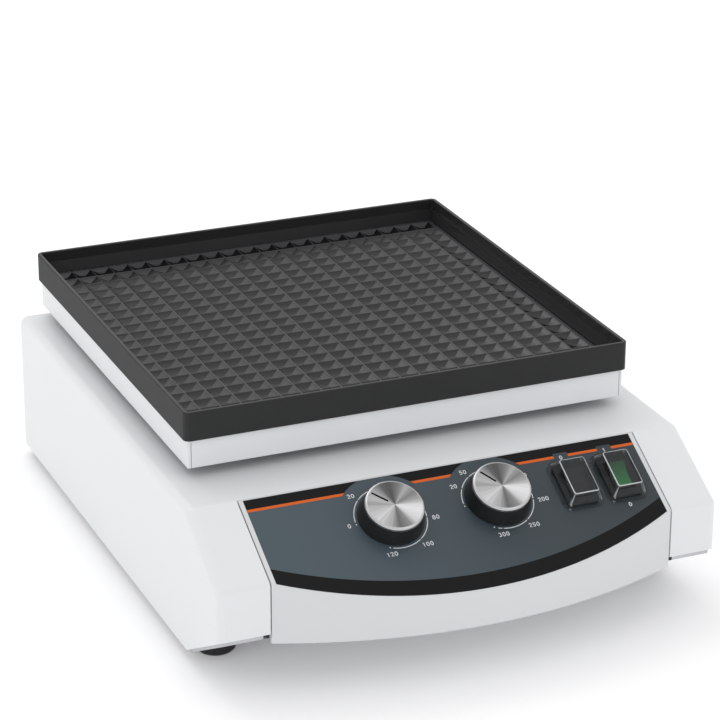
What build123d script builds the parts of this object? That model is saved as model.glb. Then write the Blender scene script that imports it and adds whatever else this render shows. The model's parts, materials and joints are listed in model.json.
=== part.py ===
"""Orbital shaker: a square tray carried on eccentrics above a low housing with a bowed console.

X runs to the right, the controls face -Y and Z is up. The origin lies on the bench,
below the middle of the whole outline. Lengths are millimetres.
"""
from build123d import *
import os
from math import atan2, cos, degrees, radians, sin, sqrt, tan

# Housing
body_width = 320.0
housing_depth = 409.0
body_height = 100.5
underside_height = 8.0
crease_height = 71.0
chin_height = 39.5
slope_run = 53.3
chin_run = 56.3
housing_wall = 3.0
top_back_radius = 7.0
brow_radius = 5.0
crease_radius = 4.0
side_edge_radius = 5.5

# Console between the two end blocks
end_block_width = 32.0
bow_depth = 26.5
bow_bottom_height = 33.0
console_wall = 3.0
console_cheek_depth = 12.0
seam_gap = 0.8
bow_edge_radius = 0.8
console_lip_clearance = 1.0

# Control panel let into the console
panel_side_margin = 2.8
panel_thickness = 0.8
panel_top_margin = 1.0
panel_bow_margin = 0.9
panel_fit = 0.1

# Base pan, feet and chassis
pan_sheet = 1.5
pan_fit = 0.3
pan_height = 7.0
pan_chin_height = 35.5
pan_rim_height = 20.0
pan_lip_height = 45.0
vent_count = 9
vent_pitch = 9.0
vent_length = 40.0
vent_width = 3.5
vent_back_inset = 63.0
foot_radius = 12.0
foot_taper = 1.5
foot_side_inset = 22.0
foot_front_inset = 67.0
foot_back_inset = 20.0
chassis_thickness = 5.0
chassis_side_inset = 10.0
chassis_front_inset = 58.0
chassis_back_inset = 8.0
boss_radius = 6.0
boss_side_inset = 17.0
boss_front_inset = 92.0
boss_back_inset = 42.0

# Orbit and its drive
orbit_radius = 10.0
orbit_rest_angle = 101.5
orbit_back_inset = 158.85
disc_clearance = 1.5
disc_thickness = 6.0
shaft_radius = 8.5
crank_disc_radius = 30.0
crank_pin_radius = 6.0
pin_height = 12.0
running_fit = 0.03
slip_fit = 0.02
shaft_chamfer = 1.0
shaft_floor_gap = 1.0
disc_chamfer = 0.8
pin_end_gap = 0.5
idler_shaft_radius = 6.0
idler_disc_radius = 20.0
idler_pin_radius = 4.0
open_pivot_fit = 0.3
idler_side_spread = 100.0
idler_back_spread = 85.0
idler_front_spread = 95.0
collar_clearance = 1.5

# Bearings
main_bearing_radius = 17.5
main_bearing_width = 10.0
small_bearing_radius = 14.0
small_bearing_width = 8.0
bearing_ring = 3.0
shield_depth = 0.6
bush_wall = 3.0

# Bearing columns
column_radius = 25.0
column_flange_radius = 42.0
column_flange = 6.0
column_bolt_radius = 34.0
column_bolt_count = 4
column_pulley_gap = 2.0
column_shoulder = 2.5
idler_column_radius = 18.0
idler_flange_radius = 29.0
idler_column_drop = 5.5
idler_flange = 5.0
idler_bolt_radius = 24.0
idler_bolt_count = 3

# Belt drive
pulley_width = 16.0
pulley_radius = 50.0
pulley_flange = 3.0
pulley_flange_width = 1.2
pulley_hub_radius = 18.0
pulley_web = 5.0
pulley_window_count = 6
pulley_window_radius = 9.5
motor_pulley_radius = 11.0
belt_width = 10.0
belt_thickness = 1.5
belt_clearance = 0.3
counterweight_radius = 68.0
counterweight_thickness = 8.0
counterweight_span = 150.0
counterweight_gap = 1.0
counterweight_drop = 7.5

# Motor
motor_x = -85.0
motor_front_inset = 154.0
motor_radius = 30.0
motor_pulley_gap = 1.0
motor_bell_height = 8.0
motor_boss_radius = 9.0
motor_boss_height = 2.5
motor_bell_step = 1.5
motor_edge = 1.0
motor_shaft_end = 1.0
motor_shaft_radius = 4.0
motor_mount_size = 84.0
motor_mount_thickness = 4.0
mount_slot_length = 14.0
mount_slot_inset = 9.0

# Dials and knobs
dial_down_slope = 30.7
dial_pitch = 68.8
dial_switch_pitch = 51.3
knob_base_radius = 20.2
knob_top_radius = 17.9
knob_height = 12.9
knob_gap = 0.7
cap_thickness = 2.4
cap_edge_radius = 1.6
knob_wall = 2.5
knob_hub_radius = 6.0
knob_socket_cover = 1.0
spindle_radius = 3.0
pointer_width = 1.2
pointer_depth = 0.4
pointer_outer = 15.3
pointer_inner = 4.6
timer_pointer_angle = 135.5
speed_pointer_angle = 128.7
bush_radius = 5.0
bush_height = 3.6
bush_reach = 2.0
bush_end_gap = 0.5
nut_size = 14.0
nut_thickness = 2.2
timer_unit_size = 48.0
timer_unit_depth = 28.0
timer_unit_chamfer = 5.0
unit_gap = 1.0
speed_unit_radius = 14.0
speed_unit_depth = 16.0
solder_lug_pitch = 5.0
solder_lug_width = 2.0
solder_lug_length = 8.0
solder_lug_reach = 3.0
solder_lug_thickness = 0.8

# Rocker switches under clear covers
power_switch_inset = 19.2
switch_pitch = 29.1
switch_down_slope = 30.9
bezel_width = 21.4
bezel_length = 30.8
bezel_thickness = 1.8
bezel_corner = 3.5
rocker_width = 12.8
rocker_length = 20.0
rocker_gap = 0.4
rocker_tilt = 10.0
rocker_valley = 2.2
rocker_pivot = 0.5
switch_body_width = 18.6
switch_body_length = 28.0
switch_body_depth = 22.0
rocker_pin_radius = 1.2
rocker_pin_reach = 1.2
switch_lug_pitch = 9.0
switch_lug_thickness = 0.8
switch_lug_width = 6.0
switch_lug_length = 8.0
switch_lug_reach = 3.0
cover_width = 27.2
cover_length = 37.0
cover_flange = 1.5
cover_wall = 1.2
cover_height = 9.5
cover_shoulder = 2.4
cover_draft = 31.0
cover_flange_corner = 6.5
cover_corner = 5.6
cover_edge_radius = 0.8

# Platform and tray
tray_size = 290.0
tray_corner = 4.0
tray_height = 18.2
tray_floor = 1.5
tray_rim = 2.5
ledge_drop = 6.7
ledge_width = 1.0
tray_taper = 2.0
rim_edge_radius = 0.6
platform_inset = 2.2
platform_height = 18.1
platform_gap = 7.0
platform_sheet = 2.0
platform_seam = 0.4
hub_radius = 20.0
hub_flange_radius = 30.0
hub_flange = 4.0
hub_bolt_radius = 25.0
hub_bolt_count = 4
boss_outer_radius = 13.0
boss_flange_radius = 19.0
boss_flange = 3.0
boss_bolt_radius = 16.0
boss_bolt_count = 2

# Grip mat with square pits
pit_pitch = 13.0
pit_count = 21
pit_depth = 2.3
pit_land = 0.5
mat_thickness = 2.8
mat_fit = 0.3
mat_corner = 0.5

# Mains inlet on the back
inlet_x = 95.0
inlet_height = 38.0
inlet_flange_width = 50.0
inlet_flange_height = 25.0
inlet_flange = 2.5
inlet_corner = 3.0
inlet_body_width = 27.0
inlet_body_height = 20.0
inlet_body_depth = 24.0
inlet_fit = 0.25
socket_width = 24.0
socket_height = 16.5
socket_depth = 17.5
socket_chamfer = 4.5
blade_length = 12.0
blade_width = 4.0
blade_thickness = 2.0
blade_spread = 7.0
blade_rise = 2.0
inlet_screw_spread = 20.0

# Control board
board_width = 88.0
board_depth = 62.0
board_thickness = 1.6
board_x = 80.0
board_front_inset = 150.5
pillar_height = 10.0
pillar_radius = 3.5
board_hole_inset = 5.0
board_screw_grip = 4.0
transformer_offset, transformer_width, transformer_depth, transformer_height = (21.0, -4.0), 26.0, 32.0, 24.0
capacitor_radius = 6.0
capacitor_height = 18.0
capacitor_offsets = [(-26.0, -12.0), (-12.0, -12.0)]
fin_count = 6
fin_pitch = 5.0
fin_thickness = 2.0
fin_depth = 12.0
fin_height = 22.0
sink_x = -34.0
sink_y = 4.0
sink_core = 4.0

# Screws
m3 = 1.5
m4 = 2.0
m3_head, m3_head_height = 2.8, 2.0
m4_head, m4_head_height = 3.8, 2.6
screw_clearance = 0.3
screw_length = 9.0
screw_socket_ratio = 0.8
bolt_start_angle = 45.0
overcut = 1.0

# Places that follow from the sizes
console_half_width = body_width / 2 - end_block_width
panel_half_width = console_half_width - panel_side_margin
foot_x = body_width / 2 - foot_side_inset
boss_x = body_width / 2 - boss_side_inset
power_switch_x = panel_half_width - power_switch_inset
timer_switch_x = power_switch_x - switch_pitch
speed_dial_x = timer_switch_x - dial_switch_pitch
timer_dial_x = speed_dial_x - dial_pitch
back_y = (housing_depth + inlet_flange) / 2 - inlet_flange
bow_y = back_y - housing_depth
front_y = bow_y + bow_depth
brow_y = front_y + slope_run
keel_y = front_y + chin_run
slope_angle = degrees(atan2(body_height - crease_height, slope_run))
slope_rise = (body_height - crease_height) / slope_run
orbit_x, orbit_y = 0.0, back_y - orbit_back_inset
pin_dx = orbit_radius * cos(radians(orbit_rest_angle))
pin_dy = orbit_radius * sin(radians(orbit_rest_angle))
platform_x, platform_y = orbit_x + pin_dx, orbit_y + pin_dy
motor_y = front_y + motor_front_inset
chassis_bottom = pan_height + pan_sheet
chassis_top = chassis_bottom + chassis_thickness
disc_bottom = body_height + disc_clearance
disc_top = disc_bottom + disc_thickness
platform_bottom = body_height + platform_gap
platform_top = platform_bottom + platform_height
tray_top = platform_top + tray_height
ledge_height = tray_top - ledge_drop
plate_bottom = platform_top - platform_sheet
mat_bottom = platform_top + tray_floor
counterweight_top = body_height - housing_wall - counterweight_drop
counterweight_bottom = counterweight_top - counterweight_thickness
pulley_top = counterweight_bottom - counterweight_gap
pulley_bottom = pulley_top - pulley_width
column_top = pulley_bottom - column_pulley_gap
idler_column_top = body_height - housing_wall - idler_column_drop
motor_bottom = chassis_top + motor_mount_thickness
motor_top = pulley_bottom - motor_pulley_gap - motor_boss_height
idler_places = {
    "left": (orbit_x - idler_side_spread, orbit_y + idler_back_spread),
    "right": (orbit_x + idler_side_spread, orbit_y + idler_back_spread),
    "front": (orbit_x, orbit_y - idler_front_spread),
}
foot_places = {
    "front_left": (-foot_x, front_y + foot_front_inset),
    "front_right": (foot_x, front_y + foot_front_inset),
    "back_left": (-foot_x, back_y - foot_back_inset),
    "back_right": (foot_x, back_y - foot_back_inset),
}
board_y = front_y + board_front_inset
vent_places = [(orbit_x, back_y - vent_back_inset), (board_x, board_y)]
boss_places = [
    (x, y)
    for x in (-boss_x, boss_x)
    for y in (front_y + boss_front_inset, back_y - boss_back_inset)
]

# Local frame of the sloping front: x to the right, y up the slope, z out of the panel
slope_plane = Plane(
    origin=(0, brow_y, body_height),
    x_dir=(1, 0, 0),
    z_dir=(0, -sin(radians(slope_angle)), cos(radians(slope_angle))),
)


def rod(radius, bottom, top, x=0.0, y=0.0):
    """Upright cylinder between two heights."""
    return Pos(x, y, (bottom + top) / 2) * Cylinder(radius, top - bottom)


def slab(x_span, y_span, z_span):
    """Box between two values on each axis."""
    spans = (x_span, y_span, z_span)
    middle = [(low + high) / 2 for low, high in spans]
    return Pos(*middle) * Box(*[high - low for low, high in spans])


def side_profile(points, radii, half_width):
    """Solid whose outline is drawn in Y and Z and which spans both ways from the middle."""
    outline = Plane.YZ * FilletPolyline(*points, radius=radii, close=True)
    return extrude(make_face(outline), half_width, both=True)


def turned(points, x=0.0, y=0.0):
    """Solid of revolution about an upright axis from (radius, height) points."""
    outline = Plane.XZ * Polyline(*points, close=True)
    return Pos(x, y, 0) * revolve(make_face(outline), Axis.Z)


def ring_places(count, radius, x=0.0, y=0.0, start=bolt_start_angle):
    """Points spread evenly on a circle."""
    step = 360.0 / count
    angles = [radians(start + step * index) for index in range(count)]
    return [(x + radius * cos(angle), y + radius * sin(angle)) for angle in angles]


def on_slope(x, down, shape):
    """Puts a shape made at the origin onto the sloping front."""
    return slope_plane * Pos(x, -down, 0) * shape


def slope_height(y):
    """Height of the sloping front's plane above a given Y."""
    return body_height - (brow_y - y) * slope_rise


def bow_plan(half_width, setback, back):
    """Plan outline of the console: straight sides, a back edge and the bowed front."""
    chord = console_half_width
    radius = (chord**2 + bow_depth**2) / (2 * bow_depth)
    centre_y = bow_y + radius
    inner_radius = radius - setback
    end_y = centre_y - sqrt(inner_radius**2 - half_width**2)
    arc = ThreePointArc((-half_width, end_y), (0, centre_y - inner_radius), (half_width, end_y))
    sides = Polyline((half_width, end_y), (half_width, back), (-half_width, back), (-half_width, end_y))
    return make_face(arc + sides)


def screw(radius, head_radius, head_height, length, x, y, seat, up=1):
    """Pan-head screw: the head stands on the seat, and up tells which way it points."""
    head = rod(head_radius, min(seat, seat + up * head_height), max(seat, seat + up * head_height), x, y)
    shank = rod(radius, min(seat, seat - up * length), max(seat, seat - up * length), x, y)
    drive_depth = head_height / 2
    socket = rod(radius * screw_socket_ratio, min(seat + up * drive_depth, seat + up * head_height * 2),
                 max(seat + up * drive_depth, seat + up * head_height * 2), x, y)
    return head + shank - socket


def housing_cover():
    """Folded cover with two end blocks, open below and between the blocks."""
    half = body_width / 2
    outline = [
        (back_y, underside_height),
        (back_y, body_height),
        (brow_y, body_height),
        (front_y, crease_height),
        (front_y, chin_height),
        (keel_y, underside_height),
    ]
    radii = [0, top_back_radius, brow_radius, crease_radius, 0, 0]
    outer = side_profile(outline, radii, half)
    side_edges = [
        edge
        for edge in outer.edges()
        if abs(abs(edge.center().X) - half) < 0.01
        and not (edge.center().Z < chin_height and edge.center().Y < keel_y)
        and edge.center().Z > underside_height + 0.01
    ]
    outer = fillet(side_edges, side_edge_radius)
    brow_inset = housing_wall * tan(radians(slope_angle / 2))
    crease_inset = housing_wall * tan(radians((90 - slope_angle) / 2))
    cavity = side_profile(
        [
            (back_y - housing_wall, 0),
            (back_y - housing_wall, body_height - housing_wall),
            (brow_y + brow_inset, body_height - housing_wall),
            (front_y + housing_wall, crease_height - crease_inset),
            (front_y + housing_wall, 0),
        ],
        [0, 0, 0, 0, 0],
        half - housing_wall,
    )
    opening_half = console_half_width + seam_gap
    cheeks = [
        slab((side * opening_half, side * (opening_half + housing_wall))[::side],
             (front_y, brow_y + housing_wall), (chassis_bottom + pan_fit, body_height))
        for side in (-1, 1)
    ]
    header = slab((-opening_half, opening_half), (brow_y, brow_y + housing_wall),
                  (body_height - console_cheek_depth, body_height))
    cover = outer - (cavity - cheeks[0] - cheeks[1] - header)
    cover -= slab((-opening_half, opening_half), (bow_y, brow_y), (0, body_height + overcut))
    cover -= rod(shaft_radius + collar_clearance, body_height - 2 * housing_wall, body_height + overcut,
                 orbit_x, orbit_y)
    for x, y in idler_places.values():
        cover -= rod(idler_shaft_radius + collar_clearance, body_height - 2 * housing_wall,
                     body_height + overcut, x, y)
    for x, y in boss_places:
        cover += rod(boss_radius, chassis_top, body_height - housing_wall / 2, x, y)
        cover -= rod(m4 + slip_fit, chassis_top - overcut, chassis_top + screw_length, x, y)
    cut_width = inlet_body_width / 2 + inlet_fit
    cut_height = inlet_body_height / 2 + inlet_fit
    cover -= slab((inlet_x - cut_width, inlet_x + cut_width), (back_y - 2 * housing_wall, back_y + overcut),
                  (inlet_height - cut_height, inlet_height + cut_height))
    for side in (-1, 1):
        hole = Pos(inlet_x + side * inlet_screw_spread, back_y, inlet_height) * Rot(90, 0, 0)
        cover -= hole * Cylinder(m3 + slip_fit, 4 * housing_wall)
    return cover


def front_console():
    """Bowed console shell: sloping panel bed, curved front, cheeks and a closed floor."""
    joint_y = brow_y - seam_gap / 2
    rear_y = front_y + housing_wall - pan_fit / 2
    lip_clear = pan_lip_height + console_lip_clearance
    outer = side_profile(
        [
            (joint_y, slope_height(joint_y)),
            (bow_y, slope_height(bow_y)),
            (bow_y, bow_bottom_height),
            (rear_y, bow_bottom_height),
            (rear_y, lip_clear),
            (joint_y, slope_height(joint_y) - console_cheek_depth),
        ],
        [0, 0, 0, 0, 0, 0],
        console_half_width,
    )
    outer &= extrude(bow_plan(console_half_width, 0, brow_y), body_height)
    bow_edges = [
        edge
        for edge in outer.edges()
        if edge.center().Y < front_y - bow_depth / 4 and edge.length > console_half_width
    ]
    outer = fillet(bow_edges, bow_edge_radius)
    plate_drop = console_wall / cos(radians(slope_angle))
    behind = brow_y + console_wall
    cavity = side_profile(
        [
            (behind, slope_height(behind) - plate_drop),
            (bow_y, slope_height(bow_y) - plate_drop),
            (bow_y, bow_bottom_height + console_wall),
            (behind, bow_bottom_height + console_wall),
        ],
        [0, 0, 0, 0],
        console_half_width,
    )
    cavity &= extrude(bow_plan(console_half_width - console_wall, console_wall, behind), body_height)
    console = outer - cavity
    bed = panel_solid(panel_half_width + panel_fit, panel_top_margin - panel_fit,
                      panel_bow_margin - panel_fit, 2 * panel_thickness, -panel_thickness)
    return console - bed - control_holes(bush_radius + panel_fit)


def panel_solid(half_width, top_margin, bow_margin, thickness, bottom):
    """Plate parallel to the sloping front whose lower edge follows the bow."""
    reach = 2 * (slope_run + bow_depth)
    plate = slope_plane * slab((-half_width, half_width), (-reach, reach), (bottom, bottom + thickness))
    plan = extrude(bow_plan(half_width, bow_margin, brow_y - top_margin), 2 * body_height)
    return plate & plan


def control_holes(round_radius):
    """Holes through the sloping front for the two spindles and the two switches."""
    cut = 4 * console_wall
    holes = [
        on_slope(x, dial_down_slope, Cylinder(round_radius, cut))
        for x in (timer_dial_x, speed_dial_x)
    ]
    holes += [
        on_slope(x, switch_down_slope,
                 Box(switch_body_width + 2 * panel_fit, switch_body_length + 2 * panel_fit, cut))
        for x in (timer_switch_x, power_switch_x)
    ]
    return holes[0] + holes[1] + holes[2] + holes[3]


def control_panel():
    """Thin decorated plate flush in the console, holed for the controls."""
    plate = panel_solid(panel_half_width, panel_top_margin, panel_bow_margin,
                        panel_thickness, -panel_thickness)
    return plate - control_holes(bush_radius + panel_fit)


def base_pan():
    """Sheet pan that closes the housing from below and rises to a lip under the chin."""
    pan_half = body_width / 2 - housing_wall - pan_fit
    pan_back = back_y - housing_wall - pan_fit
    pan_front = front_y + housing_wall + pan_fit
    chin_slope = (chin_height - underside_height) / chin_run
    pan_keel = pan_front + (pan_chin_height - pan_height) / chin_slope
    drop = pan_sheet * sqrt(1 + chin_slope**2)
    outer = side_profile(
        [
            (pan_back, pan_height),
            (pan_back, pan_rim_height),
            (pan_keel, pan_rim_height),
            (pan_front, pan_lip_height),
            (pan_front, pan_chin_height),
            (pan_keel, pan_height),
        ],
        [0, 0, 0, 0, 0, 0],
        pan_half,
    )
    corner_shift = (drop - pan_sheet) / chin_slope
    inner = side_profile(
        [
            (pan_back - pan_sheet, chassis_bottom),
            (pan_back - pan_sheet, body_height),
            (pan_front + pan_sheet, body_height),
            (pan_front + pan_sheet, pan_chin_height + drop - pan_sheet * chin_slope),
            (pan_keel + corner_shift, chassis_bottom),
        ],
        [0, 0, 0, 0, 0],
        pan_half - pan_sheet,
    )
    pan = outer - inner
    cheek_clear = housing_wall + 2 * pan_fit
    cheek_middle = console_half_width + seam_gap + housing_wall / 2
    for side in (-1, 1):
        middle = side * cheek_middle
        pan -= slab((middle - cheek_clear / 2, middle + cheek_clear / 2),
                    (pan_front - overcut, pan_front + 2 * pan_sheet),
                    (pan_chin_height, pan_lip_height + overcut))
    first = -vent_pitch * (vent_count - 1) / 2
    for row_x, row_y in vent_places:
        for index in range(vent_count):
            slot = SlotOverall(vent_length, vent_width, rotation=90)
            pan -= Pos(row_x + first + vent_pitch * index, row_y, 0) * extrude(slot, pan_rim_height)
    for x, y in list(foot_places.values()) + boss_places:
        pan -= rod(m4 + screw_clearance, 0, 2 * chassis_bottom, x, y)
    return pan


def chassis_plate():
    """Steel plate on the floor of the pan that carries columns, motor and board."""
    half = body_width / 2 - chassis_side_inset
    plate = slab((-half, half), (front_y + chassis_front_inset, back_y - chassis_back_inset),
                 (chassis_bottom, chassis_top))
    plate = fillet(plate.edges().filter_by(Axis.Z), boss_radius)
    vent_reach = vent_pitch * vent_count / 2
    for row_x, row_y in vent_places:
        plate -= slab((row_x - vent_reach, row_x + vent_reach),
                      (row_y - vent_length / 2, row_y + vent_length / 2), (0, 2 * chassis_top))
    holes = list(boss_places) + ring_places(column_bolt_count, column_bolt_radius, orbit_x, orbit_y)
    holes += [place for centre in idler_places.values() for place in idler_screw_places(*centre)]
    for x, y in holes:
        plate -= rod(m4 + slip_fit, 0, 2 * chassis_top, x, y)
    for x, y in foot_places.values():
        plate -= rod(m4 + slip_fit, 0, 2 * chassis_top, x, y)
    for x, y in motor_screw_places() + board_screw_places():
        plate -= rod(m3 + slip_fit, 0, 2 * chassis_top, x, y)
    return plate


def idler_screw_places(x, y):
    """Screws round an idler column's flange."""
    return ring_places(idler_bolt_count, idler_bolt_radius, x, y, 90)


def motor_screw_places():
    """Screws in the slots of the motor mount."""
    reach = motor_mount_size / 2 - mount_slot_inset
    return [(motor_x + dx * reach, motor_y + dy * reach) for dx in (-1, 1) for dy in (-1, 1)]


def board_screw_places():
    """Pillars below the corners of the control board."""
    reach_x = board_width / 2 - board_hole_inset
    reach_y = board_depth / 2 - board_hole_inset
    return [(board_x + dx * reach_x, board_y + dy * reach_y) for dx in (-1, 1) for dy in (-1, 1)]


def foot(x, y):
    """Rubber foot with a recess for its screw."""
    recess = foot_radius / 2
    outline = [
        (m4 + screw_clearance, pan_height / 2),
        (recess, pan_height / 2),
        (recess, 0),
        (foot_radius - foot_taper, 0),
        (foot_radius, foot_taper),
        (foot_radius, pan_height),
        (m4 + screw_clearance, pan_height),
    ]
    return turned(outline, x, y)


def bearing(inner_radius, outer_radius, width, bottom):
    """Shielded ball bearing as one ring with the recess of its shields."""
    shield_in = inner_radius + bearing_ring
    shield_out = outer_radius - bearing_ring
    top = bottom + width
    return [
        (inner_radius, bottom), (shield_in, bottom), (shield_in, bottom + shield_depth),
        (shield_out, bottom + shield_depth), (shield_out, bottom), (outer_radius, bottom),
        (outer_radius, top), (shield_out, top), (shield_out, top - shield_depth),
        (shield_in, top - shield_depth), (shield_in, top), (inner_radius, top),
    ]


def main_bearing_housing():
    """Flanged column that holds the two bearings of the drive shaft."""
    seat = main_bearing_radius + slip_fit
    low_seat = chassis_top + column_flange
    outline = [
        (seat, chassis_top),
        (column_flange_radius, chassis_top),
        (column_flange_radius, low_seat),
        (column_radius + column_shoulder, low_seat),
        (column_radius, low_seat + column_shoulder),
        (column_radius, column_top),
        (seat, column_top),
        (seat, column_top - main_bearing_width),
        (seat - column_shoulder, column_top - main_bearing_width),
        (seat - column_shoulder, low_seat + main_bearing_width),
        (seat, low_seat + main_bearing_width),
    ]
    column = turned(outline, orbit_x, orbit_y)
    for x, y in ring_places(column_bolt_count, column_bolt_radius, orbit_x, orbit_y):
        column -= rod(m4 + screw_clearance, 0, 2 * chassis_top, x, y)
    return column


def idler_column(x, y):
    """Slim flanged column for one idler crank."""
    seat = small_bearing_radius + slip_fit
    low_seat = chassis_top + idler_flange
    outline = [
        (seat, chassis_top),
        (idler_flange_radius, chassis_top),
        (idler_flange_radius, low_seat),
        (idler_column_radius, low_seat),
        (idler_column_radius, idler_column_top),
        (seat, idler_column_top),
        (seat, idler_column_top - small_bearing_width),
        (seat - column_shoulder, idler_column_top - small_bearing_width),
        (seat - column_shoulder, low_seat + small_bearing_width),
        (seat, low_seat + small_bearing_width),
    ]
    column = turned(outline, x, y)
    for hole_x, hole_y in idler_screw_places(x, y):
        column -= rod(m4 + screw_clearance, 0, 2 * chassis_top, hole_x, hole_y)
    return column


def idler_bearings():
    """Two bearings in each idler column."""
    rings = []
    for x, y in idler_places.values():
        for bottom in (chassis_top + idler_flange, idler_column_top - small_bearing_width):
            outline = bearing(idler_shaft_radius + running_fit, small_bearing_radius,
                              small_bearing_width, bottom)
            rings.append(turned(outline, x, y))
    return Compound(children=rings)


def drive_shaft():
    """Plain shaft from the lower bearing up into the crank disc."""
    top = disc_bottom + disc_thickness / 2
    shaft = rod(shaft_radius, chassis_top + shaft_floor_gap, top, orbit_x, orbit_y)
    ends = shaft.edges().filter_by(GeomType.CIRCLE).group_by(Axis.Z)[0]
    return chamfer(ends, shaft_chamfer)


def crank_disc():
    """Disc on the drive shaft with the eccentric pin of the platform."""
    disc = rod(crank_disc_radius, disc_bottom, disc_top, orbit_x, orbit_y)
    disc = chamfer(disc.edges().filter_by(GeomType.CIRCLE), disc_chamfer)
    seat_top = disc_bottom + disc_thickness / 2
    disc -= rod(shaft_radius + slip_fit, disc_bottom - overcut, seat_top, orbit_x, orbit_y)
    disc += rod(crank_pin_radius, disc_top - overcut, disc_top + pin_height, platform_x, platform_y)
    return disc


def idler_crank(x, y):
    """Turned shaft, disc and eccentric pin of one idler."""
    crank = rod(idler_shaft_radius, chassis_top + shaft_floor_gap, disc_bottom, x, y)
    crank += rod(idler_disc_radius, disc_bottom, disc_top, x, y)
    crank += rod(idler_pin_radius, disc_top, disc_top + pin_height, x + pin_dx, y + pin_dy)
    return crank


def drive_pulley():
    """Spoked pulley for the flat belt, keyed on the drive shaft."""
    bore = shaft_radius + slip_fit
    outer = pulley_radius + pulley_flange
    rim_inner = pulley_radius - pulley_flange
    web_low = pulley_bottom + (pulley_width - pulley_web) / 2
    web_high = web_low + pulley_web
    face_low = pulley_bottom + pulley_flange_width
    face_high = pulley_top - pulley_flange_width
    outline = [
        (bore, pulley_bottom), (pulley_hub_radius, pulley_bottom), (pulley_hub_radius, web_low),
        (rim_inner, web_low), (rim_inner, pulley_bottom), (outer, pulley_bottom),
        (outer, face_low), (pulley_radius, face_low), (pulley_radius, face_high),
        (outer, face_high), (outer, pulley_top), (rim_inner, pulley_top),
        (rim_inner, web_high), (pulley_hub_radius, web_high), (pulley_hub_radius, pulley_top),
        (bore, pulley_top),
    ]
    pulley = turned(outline, orbit_x, orbit_y)
    window_ring = (pulley_hub_radius + rim_inner) / 2
    for x, y in ring_places(pulley_window_count, window_ring, orbit_x, orbit_y, 0):
        pulley -= rod(pulley_window_radius, pulley_bottom, pulley_top, x, y)
    return pulley


def counterweight():
    """Sector on the shaft that balances the platform, opposite the eccentric pin."""
    middle = orbit_rest_angle + 180
    half_span = radians(counterweight_span / 2)
    arc_points = [
        (counterweight_radius * cos(angle), counterweight_radius * sin(angle))
        for angle in (-half_span, 0, half_span)
    ]
    arc = ThreePointArc(*arc_points)
    sector = make_face(Polyline(arc_points[2], (0, 0), arc_points[0]) + arc)
    weight = extrude(sector, counterweight_thickness) + Pos(0, 0, counterweight_thickness / 2) * Cylinder(
        pulley_hub_radius, counterweight_thickness)
    weight -= Cylinder(shaft_radius + slip_fit, 4 * counterweight_thickness)
    return Pos(orbit_x, orbit_y, counterweight_bottom) * Rot(0, 0, middle) * weight


def motor_pulley():
    """Small flanged pulley on the motor shaft."""
    bore = motor_shaft_radius + slip_fit
    outer = motor_pulley_radius + pulley_flange
    face_low = pulley_bottom + pulley_flange_width
    face_high = pulley_top - pulley_flange_width
    outline = [
        (bore, pulley_bottom), (outer, pulley_bottom), (outer, face_low),
        (motor_pulley_radius, face_low), (motor_pulley_radius, face_high),
        (outer, face_high), (outer, pulley_top), (bore, pulley_top),
    ]
    return turned(outline, motor_x, motor_y)


def drive_belt():
    """Flat belt round both pulleys."""
    def loop(grow):
        big = Pos(orbit_x, orbit_y) * CenterArc((0, 0), pulley_radius + grow, 0, 360)
        small = Pos(motor_x, motor_y) * CenterArc((0, 0), motor_pulley_radius + grow, 0, 360)
        return make_hull(big.edges() + small.edges())

    band = loop(belt_clearance + belt_thickness) - loop(belt_clearance)
    low = pulley_bottom + (pulley_width - belt_width) / 2
    return Pos(0, 0, low) * extrude(band, belt_width)


def motor():
    """Round motor with two end bells, standing on its mount."""
    bottom, top = motor_bottom, motor_top
    waist = motor_radius - motor_bell_step
    boss_top = top + motor_boss_height
    outline = [
        (0, bottom), (motor_radius - motor_edge, bottom), (motor_radius, bottom + motor_edge),
        (motor_radius, bottom + motor_bell_height), (waist, bottom + motor_bell_height),
        (waist, top - motor_bell_height), (motor_radius, top - motor_bell_height),
        (motor_radius, top - motor_edge), (motor_radius - motor_edge, top), (motor_boss_radius, top),
        (motor_boss_radius, boss_top), (0, boss_top),
    ]
    body = turned(outline, motor_x, motor_y)
    return body - rod(motor_shaft_radius + running_fit, (bottom + top) / 2, boss_top + overcut,
                      motor_x, motor_y)


def motor_mount():
    """Square plate with slots, so that the motor can slide to tension the belt."""
    half = motor_mount_size / 2
    plate = slab((-half, half), (-half, half), (0, motor_mount_thickness))
    plate = fillet(plate.edges().filter_by(Axis.Z), mount_slot_inset)
    mount = Pos(motor_x, motor_y, chassis_top) * plate
    for x, y in motor_screw_places():
        slot = SlotOverall(mount_slot_length, 2 * (m3 + screw_clearance))
        mount -= Pos(x, y, 0) * extrude(slot, 2 * chassis_top)
    return mount


def motor_shaft():
    """Rotor shaft that stands out of the motor and carries its pulley."""
    bottom = (motor_bottom + motor_top) / 2 + motor_shaft_end
    return rod(motor_shaft_radius, bottom, pulley_top + motor_shaft_end, motor_x, motor_y)


def screws_at(places, seat, radius, head_radius, head_height, length, up=1):
    """Group of equal screws."""
    return Compound(children=[
        screw(radius, head_radius, head_height, length, x, y, seat, up) for x, y in places
    ])


def column_screws():
    """Screws through the flanges of the four columns."""
    ring = ring_places(column_bolt_count, column_bolt_radius, orbit_x, orbit_y)
    main = screws_at(ring, chassis_top + column_flange, m4, m4_head, m4_head_height, screw_length)
    places = [place for centre in idler_places.values() for place in idler_screw_places(*centre)]
    slim = screws_at(places, chassis_top + idler_flange, m4, m4_head, m4_head_height, screw_length)
    return Compound(children=list(main.children) + list(slim.children))


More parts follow.
